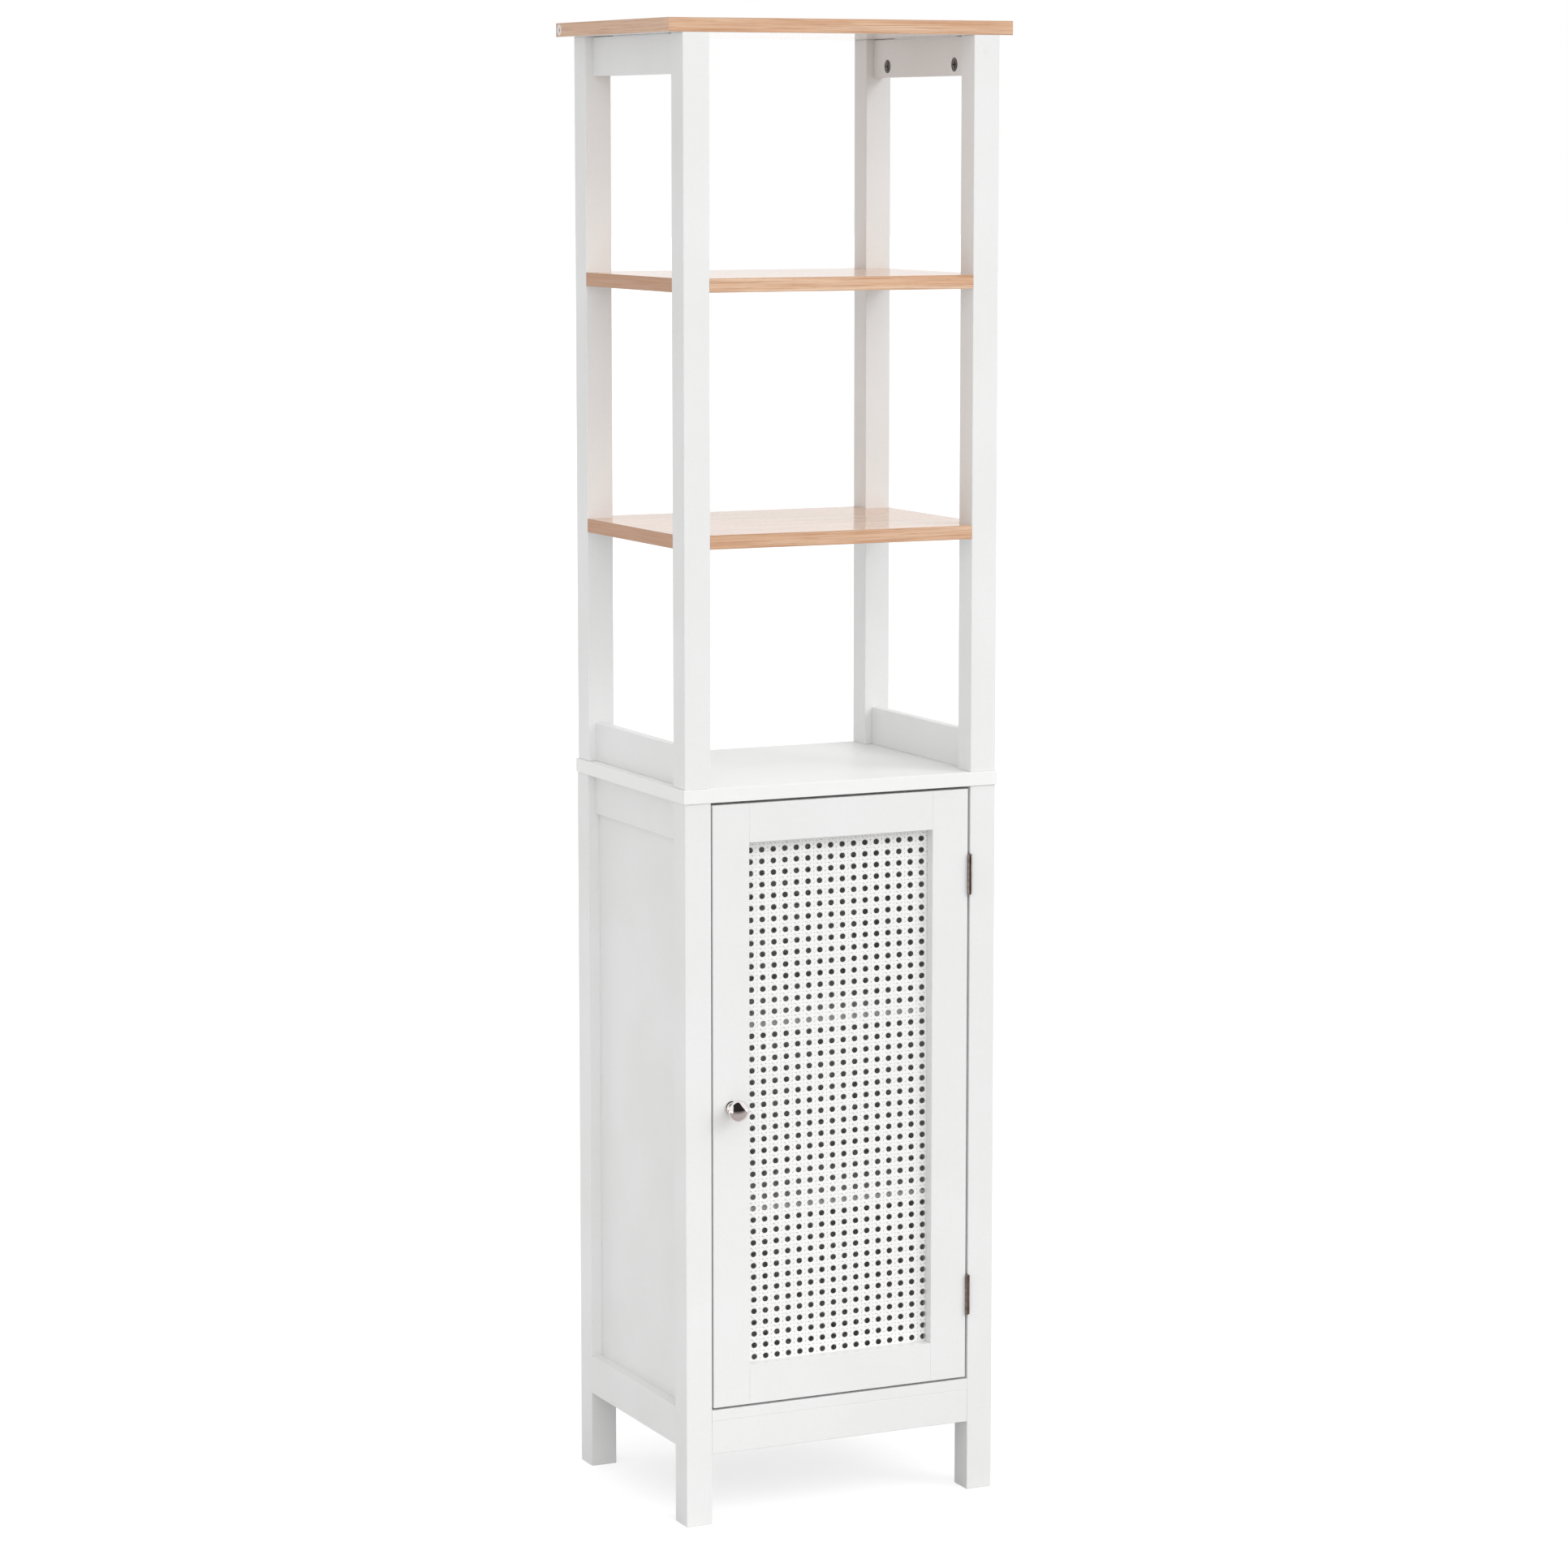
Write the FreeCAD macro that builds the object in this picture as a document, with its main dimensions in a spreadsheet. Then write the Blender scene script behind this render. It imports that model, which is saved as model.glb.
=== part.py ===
import FreeCAD, Part
import os
import re
import Sketcher

# Tall bathroom cabinet.  An open rack of four posts and three oak-print boards stands on
# a cupboard with one framed door.  Its own frame: the origin lies on the floor under the
# middle of the outline, +X points right, +Y to the back and +Z up.  Millimetres.

SIZES = {
    # boards, posts and legs
    "top_width": 400, "top_depth": 300, "board_thick": 15, "board_arris": 0.5,
    "body_width": 368, "rack_depth": 288, "cabinet_depth": 291, "deck_overhang": 1.5,
    "post_side": 30, "post_arris": 0.8, "rack_post_length": 786.5, "leg_length": 783.5,
    # rails, apron and panels
    "rail_thick": 12, "rack_rail_height": 42, "rack_rail_gap": 0.5,
    "side_top_rail_height": 44,
    "side_bottom_rail_height": 42, "side_bottom_rail_floor": 84.5,
    "side_bottom_rail_thick": 21, "apron_floor": 77, "apron_height": 36.5,
    "apron_thick": 15, "bottom_board_thick": 12, "panel_thick": 3,
    "groove_width": 3.2, "groove_depth": 5, "groove_play": 0.5,
    # shelves inside the cupboard, and the pins that carry them
    "inner_shelf_thick": 12, "inner_shelf_setback": 20, "shelf_play": 1, "notch_play": 0.5,
    "lower_shelf_floor": 327, "upper_shelf_floor": 532,
    "pin_radius": 2.5, "pin_length": 16, "pin_embed": 8, "pin_from_front": 25,
    "pin_from_leg": 5,
    # door frame and cane panel
    "door_thick": 18, "gap_left": 2, "gap_right": 3, "gap_top": 3, "gap_bottom": 2.5,
    "stile_width": 42.5, "door_top_rail_height": 42, "door_bottom_rail_height": 42.5,
    "cane_recess": 12.7, "cane_thick": 1.2, "rebate_width": 6, "rebate_play": 0.2,
    # hinges
    "leaf_height": 42, "leaf_reach": 17, "leaf_thick": 1, "plate_start": 2.8,
    "tongue_start": 1.3, "knuckle_radius": 2.4, "knuckle_gap": 0.3,
    "hinge_pin_radius": 1.2, "hinge_play": 0.05, "hinge_forward": 2.3,
    "hinge_from_end": 93, "finial_height": 1.5, "hinge_screw_spread": 13,
    "hinge_screw_back": 8,
    # knob
    "knob_projection": 24, "knob_disc_radius": 8.2, "knob_disc": 1.8,
    "knob_collar_radius": 7, "knob_collar": 3, "knob_neck_radius": 4.6,
    "knob_flare_start": 8.5, "knob_head_radius": 11.6, "knob_rim": 1.5, "knob_dome": 7,
    "knob_hole_depth": 10, "knob_screw_radius": 2, "knob_screw_reach": 9.5,
    "knob_screw_head_radius": 4, "knob_screw_head": 2.2,
    # dowels, cam fittings and screws
    "fit_play": 0.05, "dowel_radius": 3, "dowel_in_post": 10, "dowel_in_rail": 15,
    "dowel_edge": 10, "door_dowel_back": 8, "deck_dowel_radius": 4,
    "deck_dowel_in_post": 25, "deck_dowel_in_leg": 20,
    "cam_radius": 7.5, "cam_bore_depth": 10.5, "cam_thick": 10, "cam_drop": 30,
    "cam_from_end": 64, "cam_bolt_radius": 3, "cam_bolt_in_board": 11,
    "cam_slot_width": 1.4, "cam_slot_depth": 1.5, "cam_slot_length": 9,
    "cam_throat": 2, "cam_bolt_hole": 24,
    "screw_radius": 1.5, "screw_head_radius": 2.8, "screw_in_wood": 11,
    # magnetic catch
    "catch_width": 42, "catch_depth": 14, "catch_height": 16, "catch_gap": 0.3,
    "magnet_width": 26, "magnet_height": 8, "magnet_proud": 0.7, "magnet_sunk": 9,
    "strike_width": 30, "strike_height": 10, "strike_thick": 1, "strike_drop": 9,
    "catch_screw_spread": 17, "catch_screw_in_deck": 10, "catch_screw_head_radius": 3,
    "catch_screw_head": 1.8,
    # small covers
    "edge_cap_radius": 6, "edge_cap_depth": 1.5, "edge_cap_from_back": 8.6,
    "plug_radius": 4, "plug_depth": 3, "plug_proud": 0.15, "plug_drop": 16,
}

doc = FreeCAD.newDocument("tall_bathroom_cabinet")
sheet = doc.addObject("Spreadsheet::Sheet", "Sizes")
for row, (word, value) in enumerate(SIZES.items(), start=1):
    sheet.set(f"A{row}", word)
    sheet.set(f"B{row}", str(value))
    sheet.setAlias(f"B{row}", word)
doc.recompute()

# Places and lengths that follow from the sheet, as formulas on its words.
LEFT = "-body_width / 2"
FRONT = "(knob_projection - top_depth) / 2"
DECK_TOP = "leg_length + board_thick"
TOP_FLOOR = f"{DECK_TOP} + rack_post_length"
BAY = "(rack_post_length - 2 * board_thick) / 3"
SHELF_STEP = f"({BAY} + board_thick)"
CLEAR_WIDTH = "(body_width - 2 * post_side)"
MIDDLE = "post_side / 2"
BOARD_FLOOR = "(apron_floor + apron_height)"
RAIL_TOP = "(side_bottom_rail_floor + side_bottom_rail_height)"
TOP_RAIL_FLOOR = "(leg_length - side_top_rail_height)"
PANEL_ENTRY = "(groove_depth - groove_play)"
PANEL_HALF = "panel_thick / 2"
GROOVE_HALF = "groove_width / 2"
DOWEL_LENGTH = "dowel_in_post + dowel_in_rail"
DOWEL_HOLE = "dowel_radius + fit_play"
SCREW_HOLE = "screw_radius + fit_play"

DOOR_LEFT = f"({LEFT} + post_side + gap_left)"
DOOR_WIDTH = f"({CLEAR_WIDTH} - gap_left - gap_right)"
DOOR_FLOOR = f"({BOARD_FLOOR} + bottom_board_thick + gap_bottom)"
DOOR_HEIGHT = f"(leg_length - gap_top - {DOOR_FLOOR})"
OPENING_LEFT = f"({DOOR_LEFT} + stile_width)"
OPENING_WIDTH = f"({DOOR_WIDTH} - 2 * stile_width)"
OPENING_FLOOR = f"({DOOR_FLOOR} + door_bottom_rail_height)"
OPENING_HEIGHT = f"({DOOR_HEIGHT} - door_bottom_rail_height - door_top_rail_height)"
REBATE_DEPTH = "(door_thick - cane_recess)"
STRIP_WIDTH = "(rebate_width - rebate_play)"
STILE_MIDDLE = f"({DOOR_LEFT} + stile_width / 2)"
DOOR_BACK = f"({FRONT} + door_thick)"
STRIKE_MIDDLE = "(leg_length - strike_drop)"
CATCH_FRONT = f"({DOOR_BACK} + strike_thick + catch_gap + magnet_proud)"
KNOB_HEIGHT = f"({DOOR_FLOOR} + {DOOR_HEIGHT} / 2)"
HINGE_X = f"({DOOR_LEFT} + {DOOR_WIDTH} + gap_right / 2)"
HINGE_Y = f"({FRONT} - hinge_forward)"

SIDES = ("left", "right")
ENDS = ("front", "back")
POST_X = {"left": LEFT, "right": "body_width / 2 - post_side"}
RACK_POST_Y = {"front": FRONT, "back": f"{FRONT} + rack_depth - post_side"}
LEG_Y = {"front": FRONT, "back": f"{FRONT} + cabinet_depth - post_side"}
INNER_SIDE = {"left": "right", "right": "left"}
INNER_END = {"front": "back", "back": "front"}
SHELF_FLOORS = {"lower": "lower_shelf_floor", "upper": "upper_shelf_floor"}
HINGE_HEIGHTS = {"lower": "hinge_from_end", "upper": f"{DOOR_HEIGHT} - hinge_from_end"}
SEGMENTS = 6                    # knuckle segments in one hinge, dealt to the two leaves
DOOR_SEGMENTS = (1, 3, 5)       # counted from the bottom
POST_SEGMENTS = (0, 2, 4)
PITCH = f"(leaf_height / {SEGMENTS})"

RIGHTWARD = (1, 0, 0)
LEFTWARD = (-1, 0, 0)
BACKWARD = (0, 1, 0)
FORWARD = (0, -1, 0)
UPWARD = (0, 0, 1)
DOWNWARD = (0, 0, -1)

parts = []      # what is written to a file, one entry for each node
pockets = []    # cuts whose volume is compared at the end


def bound(formula):
    """A formula on the sheet's words, with each word pointing at its cell."""
    return re.sub(r"[a-z][a-z_]+", lambda word: "Sizes." + word.group(), formula)


def place(item, x, y, z, direction=UPWARD):
    """Put an object's own origin at a point, its +Z turned to a direction."""
    turn = FreeCAD.Rotation(FreeCAD.Vector(*UPWARD), FreeCAD.Vector(*direction))
    item.Placement = FreeCAD.Placement(FreeCAD.Vector(), turn)
    for axis, formula in zip("xyz", (x, y, z)):
        item.setExpression(f".Placement.Base.{axis}", bound(formula))
    return item


def keep(item, label):
    """Name a finished sub-part and list it for its file."""
    item.Label = label
    parts.append(item)
    return item


# ---- sketches -------------------------------------------------------------------------

def pin_point(sketch, geometry, point, x, y):
    """Hold a sketch point at x, y from the sketch's origin."""
    for kind, axis, formula in (("DistanceX", -2, x), ("DistanceY", -1, y)):
        if formula == "0":
            sketch.addConstraint(Sketcher.Constraint("PointOnObject", geometry, point, axis))
            continue
        index = sketch.addConstraint(Sketcher.Constraint(kind, -1, 1, geometry, point, 1.0))
        sketch.setExpression(f"Constraints[{index}]", bound(formula))


def draw_outline(sketch, corners):
    """A closed outline of straight lines through corners, each held by its formulas."""
    first = sketch.GeometryCount
    count = len(corners)
    start = [FreeCAD.Vector(1 + (i in (1, 2)), 1 + (i in (2, 3)), 0) for i in range(count)]
    for i in range(count):
        sketch.addGeometry(Part.LineSegment(start[i], start[(i + 1) % count]), False)
    for i in range(count):
        follower = first + (i + 1) % count
        sketch.addConstraint(Sketcher.Constraint("Coincident", first + i, 2, follower, 1))
    for i, (x, y) in enumerate(corners):
        pin_point(sketch, first + i, 1, x, y)


def draw_rectangle(sketch, x0, y0, x1, y1):
    """A rectangle between two opposite corners."""
    draw_outline(sketch, [(x0, y0), (x1, y0), (x1, y1), (x0, y1)])


def draw_circle(sketch, x, y, radius):
    """A circle with its middle and radius held by formulas."""
    circle = Part.Circle(FreeCAD.Vector(1, 1, 0), FreeCAD.Vector(*UPWARD), 1)
    geometry = sketch.addGeometry(circle, False)
    pin_point(sketch, geometry, 3, x, y)
    index = sketch.addConstraint(Sketcher.Constraint("Radius", geometry, 1.0))
    sketch.setExpression(f"Constraints[{index}]", bound(radius))


# ---- wooden pieces --------------------------------------------------------------------

class Block:
    """A wooden piece: a padded rectangle with its arrises eased, then cut from its faces.

    On the left and right faces a place is given as (back, up), on the front and back
    faces as (right, up), and on the top and bottom faces as (right, back)."""

    def __init__(self, label, width, depth, height, arris=None):
        self.body = keep(doc.addObject("PartDesign::Body", label), label)
        self.faces = {
            "left": ("YZ_Plane", "{inset}", True),
            "right": ("YZ_Plane", f"{width} - ({{inset}})", False),
            "front": ("XZ_Plane", "-({inset})", False),
            "back": ("XZ_Plane", f"({{inset}}) - ({depth})", True),
            "bottom": ("XY_Plane", "{inset}", True),
            "top": ("XY_Plane", f"{height} - ({{inset}})", False),
        }
        sketch = self.sketch_on("XY_Plane", "0")
        draw_rectangle(sketch, "0", "0", width, depth)
        self.tip = self.body.newObject("PartDesign::Pad", f"{label}_block")
        self.tip.Profile = sketch
        self.tip.setExpression("Length", bound(height))
        if arris is not None:
            self.ease(arris)

    def sketch_on(self, role, offset):
        """A sketch on one of the body's own origin planes, shifted along its normal."""
        sketch = self.body.newObject("Sketcher::SketchObject", f"{self.body.Name}_sketch")
        plane = next(f for f in self.body.Origin.OriginFeatures if f.Role == role)
        sketch.AttachmentSupport = [(plane, "")]
        sketch.MapMode = "FlatFace"
        if offset != "0":
            sketch.setExpression(".AttachmentOffset.Base.z", bound(offset))
        return sketch

    def ease(self, radius):
        """Round every edge of the block, as sanding and paint do."""
        doc.recompute()
        edges = [f"Edge{i + 1}" for i in range(len(self.tip.Shape.Edges))]
        fillet = self.body.newObject("PartDesign::Fillet", f"{self.body.Name}_arris")
        fillet.Base = (self.tip, edges)
        fillet.setExpression("Radius", bound(radius))
        self.tip = fillet

    def cut(self, face, depth, draw, inset="0"):
        """A pocket into a face, or into a plane parallel to it that lies inset behind."""
        role, offset, turned = self.faces[face]
        where = offset.format(inset=inset)
        sketch = self.sketch_on(role, "0" if where in ("0", "-(0)") else where)
        draw(sketch)
        pocket = self.body.newObject("PartDesign::Pocket", f"{self.body.Name}_cut")
        pocket.Profile = sketch
        pocket.setExpression("Length", bound(depth))
        pocket.Reversed = turned
        pockets.append(pocket)

    def holes(self, face, centres, radius, depth, inset="0"):
        """Round holes of one radius and depth."""
        def draw(sketch):
            for x, y in centres:
                draw_circle(sketch, x, y, radius)
        self.cut(face, depth, draw, inset)

    def slots(self, face, corners, depth):
        """Rectangular cuts of one depth, each given by two opposite corners."""
        def draw(sketch):
            for corner in corners:
                draw_rectangle(sketch, *corner)
        self.cut(face, depth, draw)

    def place(self, x, y, z):
        """Put the block's left front bottom corner at a point."""
        place(self.body, x, y, z)


def corner_notches(width, depth, across, front, back):
    """The four corners that a board gives up to the posts around it."""
    return [
        ("0", "0", across, front),
        (f"{width} - ({across})", "0", width, front),
        ("0", f"{depth} - ({back})", across, depth),
        (f"{width} - ({across})", f"{depth} - ({back})", width, depth),
    ]


# ---- round and small pieces -----------------------------------------------------------

def sized(kind, name, **formulas):
    """A basic solid with each named size bound to a formula."""
    solid = doc.addObject(kind, name)
    for size, formula in formulas.items():
        solid.setExpression(size, bound(formula))
    return solid


def rod(name, radius, length, x, y, z, direction=UPWARD):
    """A cylinder that starts at a point and runs in a direction."""
    solid = sized("Part::Cylinder", name, Radius=radius, Height=length)
    return place(solid, x, y, z, direction)


def taper(name, start_radius, end_radius, length, x, y, z, direction=UPWARD):
    """A cone that starts at a point and runs in a direction."""
    solid = sized("Part::Cone", name, Radius1=start_radius, Radius2=end_radius, Height=length)
    return place(solid, x, y, z, direction)


def dome(name, radius, rise, x, y, z, direction=UPWARD):
    """Half an ellipsoid that swells from a flat face in a direction."""
    solid = sized("Part::Ellipsoid", name, Radius1=rise, Radius2=radius, Radius3=radius)
    solid.Angle1 = 0
    return place(solid, x, y, z, direction)


def brick(name, width, depth, height, x, y, z):
    """A plain box from its left front bottom corner."""
    solid = sized("Part::Box", name, Length=width, Width=depth, Height=height)
    return place(solid, x, y, z)


def joined(name, members):
    """Solids melted into one."""
    solid = doc.addObject("Part::MultiFuse", name)
    solid.Shapes = members
    return solid


def less(name, base, tool):
    """A solid with a tool's shape taken out of it."""
    solid = doc.addObject("Part::Cut", name)
    solid.Base = base
    solid.Tool = tool
    return solid


def bunch(label, members):
    """Alike loose solids that share one node."""
    group = doc.addObject("Part::Compound", label)
    group.Links = members
    return keep(group, label)


def countersunk_screw(name, x, y, z, direction):
    """A flat-headed wood screw whose head fills a 1 mm plate and whose shank goes on."""
    head = taper(f"{name}_head", "screw_head_radius", "screw_radius", "leaf_thick",
                 x, y, z, direction)
    neck = [f"{start} + ({run}) * leaf_thick" for start, run in zip((x, y, z), direction)]
    shank = rod(f"{name}_shank", "screw_radius", "screw_in_wood", *neck, direction)
    return joined(name, [head, shank])


def countersink(name, x, y, z, direction):
    """The tapered hole that a countersunk screw's head fills."""
    return taper(name, "screw_head_radius + fit_play", SCREW_HOLE, "leaf_thick",
                 x, y, z, direction)


# ---- rack -----------------------------------------------------------------------------

def rack_post_dowel_heights():
    """Heights of the rail dowels above the deck, two for each rail."""
    return ["dowel_edge", "rack_rail_height - dowel_edge",
            "rack_post_length - rack_rail_height + dowel_edge",
            "rack_post_length - rack_rail_gap - dowel_edge"]


def rack_shelf_floor(number):
    """Height of a rack shelf's underside above the deck, counted from 1 at the bottom."""
    return f"{BAY} + {number - 1} * {SHELF_STEP}"


def make_rack_post(side, end):
    """A square post, drilled for two rails, two shelves and the dowel through the deck."""
    post = Block(f"rack_post_{end}_{side}", "post_side", "post_side", "rack_post_length",
                 "post_arris")
    rail_dowels = [(MIDDLE, height) for height in rack_post_dowel_heights()]
    post.holes(INNER_END[end], rail_dowels, DOWEL_HOLE, "dowel_in_post")
    shelf_dowels = [(MIDDLE, f"{rack_shelf_floor(n)} + board_thick / 2") for n in (1, 2)]
    post.holes(INNER_SIDE[side], shelf_dowels, DOWEL_HOLE, "dowel_in_post")
    foot = {"front": MIDDLE, "back": f"{MIDDLE} + cabinet_depth - rack_depth"}[end]
    post.holes("bottom", [(MIDDLE, foot)], "deck_dowel_radius + fit_play", "deck_dowel_in_post")
    if (side, end) == ("right", "front"):
        post.holes("front", [(MIDDLE, "rack_post_length - plug_drop")],
                   "plug_radius", "plug_depth")
    post.place(POST_X[side], RACK_POST_Y[end], DECK_TOP)


def rail_x(side):
    """Left face of a 12 mm rail that is centred in its posts."""
    return f"{POST_X[side]} + {MIDDLE} - rail_thick / 2"


def drill_rail_ends(rail, x, height):
    """Two dowel holes in each end of a rail."""
    ends = [(x, "dowel_edge"), (x, f"{height} - dowel_edge")]
    for end in ENDS:
        rail.holes(end, ends, DOWEL_HOLE, "dowel_in_rail")


def bore_for_cams(rail, side, height, span):
    """Cam bores in a top rail's inner face, and the bolt holes that meet them.  The height
    is counted from the rail's lower edge to the board that the cams pull down."""
    places = ["cam_from_end - post_side", f"{span} - cam_from_end + post_side"]
    rail.holes(INNER_SIDE[side], [(y, f"{height} - cam_drop") for y in places],
               "cam_radius", "cam_bore_depth")
    rail.holes("top", [("rail_thick / 2", y) for y in places],
               "cam_bolt_radius + fit_play", "cam_bolt_hole")


def make_rack_rails(side):
    """The two cross rails of a rack side: one on the deck, and one that stops a hair's
    breadth under the top board, which rests on the posts."""
    span = "(rack_depth - 2 * post_side)"
    floors = {"bottom": DECK_TOP, "top": f"{TOP_FLOOR} - rack_rail_height"}
    heights = {"bottom": "rack_rail_height", "top": "(rack_rail_height - rack_rail_gap)"}
    for level, floor in floors.items():
        rail = Block(f"rack_{level}_rail_{side}", "rail_thick", span, heights[level],
                     "post_arris")
        drill_rail_ends(rail, "rail_thick / 2", heights[level])
        if level == "top":
            bore_for_cams(rail, side, "rack_rail_height", span)
        rail.place(rail_x(side), f"{FRONT} + post_side", floor)


def make_rack_shelf(name, number):
    """A shelf as wide and deep as the rack, with a notch for each post."""
    shelf = Block(f"rack_shelf_{name}", "body_width", "rack_depth", "board_thick", "board_arris")
    notches = corner_notches("body_width", "rack_depth", "post_side", "post_side", "post_side")
    shelf.slots("top", notches, "board_thick")
    dowels = [(y, "board_thick / 2") for y in (MIDDLE, f"rack_depth - {MIDDLE}")]
    for side in SIDES:
        shelf.holes(side, dowels, DOWEL_HOLE, "dowel_in_rail", inset="post_side")
    shelf.place(LEFT, FRONT, f"{DECK_TOP} + {rack_shelf_floor(number)}")


def make_top_board():
    """The oak-print top, flush with the front posts and wider than the rack."""
    board = Block("top_board", "top_width", "top_depth", "board_thick", "board_arris")
    over = "(top_width - body_width) / 2"
    bolts = [(x, y) for x in (f"{over} + {MIDDLE}", f"top_width - {over} - {MIDDLE}")
             for y in ("cam_from_end", "rack_depth - cam_from_end")]
    board.holes("bottom", bolts, "cam_bolt_radius + fit_play", "cam_bolt_in_board")
    cap = [("top_depth - edge_cap_from_back", "board_thick / 2")]
    board.holes("left", cap, "edge_cap_radius", "edge_cap_depth")
    board.place("-top_width / 2", FRONT, TOP_FLOOR)


def make_deck_board():
    """The white board between cupboard and rack."""
    board = Block("deck_board", "body_width + 2 * deck_overhang",
                  "cabinet_depth + deck_overhang", "board_thick", "board_arris")
    across = [f"deck_overhang + {MIDDLE}", f"deck_overhang + body_width - {MIDDLE}"]
    along = [f"deck_overhang + {MIDDLE}", f"deck_overhang + cabinet_depth - {MIDDLE}"]
    cams = ["deck_overhang + cam_from_end", "deck_overhang + cabinet_depth - cam_from_end"]
    board.holes("top", [(x, y) for x in across for y in along],
                "deck_dowel_radius + fit_play", "board_thick")
    board.holes("bottom", [(x, y) for x in across for y in cams],
                "cam_bolt_radius + fit_play", "cam_bolt_in_board")
    middle = f"{STILE_MIDDLE} - {LEFT} + deck_overhang"
    back = f"{CATCH_FRONT} - {FRONT} + deck_overhang + catch_depth / 2"
    screws = [(f"{middle} - catch_screw_spread", back), (f"{middle} + catch_screw_spread", back)]
    board.holes("bottom", screws, SCREW_HOLE, "catch_screw_in_deck")
    board.place(f"{LEFT} - deck_overhang", f"{FRONT} - deck_overhang", "leg_length")


# ---- cupboard -------------------------------------------------------------------------

def leg_dowel_heights():
    """Heights of the side rails' dowels above the floor, two for each rail."""
    return ["side_bottom_rail_floor + dowel_edge", f"{RAIL_TOP} - dowel_edge",
            f"{TOP_RAIL_FLOOR} + dowel_edge", "leg_length - dowel_edge"]


def make_leg(side, end):
    """A leg, grooved for the panels and drilled for rails, pins, dowels and hinges."""
    leg = Block(f"cabinet_leg_{end}_{side}", "post_side", "post_side", "leg_length",
                "post_arris")
    inner = INNER_SIDE[side]
    leg.holes(INNER_END[end], [(MIDDLE, height) for height in leg_dowel_heights()],
              DOWEL_HOLE, "dowel_in_post")
    leg.slots(INNER_END[end], [(f"{MIDDLE} - {GROOVE_HALF}", f"{RAIL_TOP} - groove_depth",
                                f"{MIDDLE} + {GROOVE_HALF}", f"{TOP_RAIL_FLOOR} + groove_depth")],
              "groove_depth")
    cross_dowel = {"front": "apron_thick / 2", "back": MIDDLE}[end]
    leg.holes(inner, [(cross_dowel, "apron_floor + apron_height / 2")],
              DOWEL_HOLE, "dowel_in_post")
    pin = {"front": "pin_from_front", "back": "pin_from_leg"}[end]
    leg.holes(inner, [(pin, f"{floor} - pin_radius") for floor in SHELF_FLOORS.values()],
              "pin_radius + fit_play", "pin_embed")
    leg.holes("top", [(MIDDLE, MIDDLE)], "deck_dowel_radius + fit_play", "deck_dowel_in_leg")
    if end == "back":
        leg.slots(inner, [(f"{MIDDLE} - {GROOVE_HALF}", BOARD_FLOOR,
                           f"{MIDDLE} + {GROOVE_HALF}", "leg_length")], "groove_depth")
    if (side, end) == ("right", "front"):
        screws = [("hinge_screw_back", f"{DOOR_FLOOR} + {height}")
                  for height in hinge_screw_heights()]
        leg.holes(inner, screws, SCREW_HOLE, "screw_in_wood")
    leg.place(POST_X[side], LEG_Y[end], "0")


def make_side_rails(side):
    """The rails that hold a side panel: a thin one on top, a flush thick one below."""
    span = "(cabinet_depth - 2 * post_side)"
    top = Block(f"side_top_rail_{side}", "rail_thick", span, "side_top_rail_height",
                "post_arris")
    drill_rail_ends(top, "rail_thick / 2", "side_top_rail_height")
    bore_for_cams(top, side, "side_top_rail_height", span)
    top.slots("bottom", [(f"rail_thick / 2 - {GROOVE_HALF}", "0",
                          f"rail_thick / 2 + {GROOVE_HALF}", span)], "groove_depth")
    top.place(rail_x(side), f"{FRONT} + post_side", TOP_RAIL_FLOOR)

    middle = {"left": MIDDLE, "right": f"side_bottom_rail_thick - {MIDDLE}"}[side]
    bottom = Block(f"side_bottom_rail_{side}", "side_bottom_rail_thick", span,
                   "side_bottom_rail_height", "post_arris")
    drill_rail_ends(bottom, middle, "side_bottom_rail_height")
    bottom.slots("top", [(f"{middle} - {GROOVE_HALF}", "0",
                          f"{middle} + {GROOVE_HALF}", span)], "groove_depth")
    x = {"left": LEFT, "right": "body_width / 2 - side_bottom_rail_thick"}[side]
    bottom.place(x, f"{FRONT} + post_side", "side_bottom_rail_floor")


def make_panels():
    """Thin panels that sit in the grooves of the legs and rails."""
    height = f"{TOP_RAIL_FLOOR} - {RAIL_TOP} + 2 * {PANEL_ENTRY}"
    depth = f"cabinet_depth - 2 * post_side + 2 * {PANEL_ENTRY}"
    for side in SIDES:
        panel = Block(f"side_panel_{side}", "panel_thick", depth, height)
        panel.place(f"{POST_X[side]} + {MIDDLE} - {PANEL_HALF}",
                    f"{FRONT} + post_side - {PANEL_ENTRY}", f"{RAIL_TOP} - {PANEL_ENTRY}")
    back = Block("back_panel", f"{CLEAR_WIDTH} + 2 * {PANEL_ENTRY}", "panel_thick",
                 f"leg_length - {BOARD_FLOOR}")
    back.place(f"{LEFT} + post_side - {PANEL_ENTRY}",
               f"{FRONT} + cabinet_depth - {MIDDLE} - {PANEL_HALF}", BOARD_FLOOR)


def make_cross_rails():
    """The apron under the door and the rail under the back panel."""
    thick = {"front_apron": "apron_thick", "back_bottom_rail": "rail_thick"}
    front = {"front_apron": FRONT,
             "back_bottom_rail": f"{FRONT} + cabinet_depth - {MIDDLE} - rail_thick / 2"}
    for label, depth in thick.items():
        rail = Block(label, CLEAR_WIDTH, depth, "apron_height", "post_arris")
        for side in SIDES:
            rail.holes(side, [(f"{depth} / 2", "apron_height / 2")], DOWEL_HOLE, "dowel_in_rail")
        rail.place(f"{LEFT} + post_side", front[label], "apron_floor")


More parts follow.
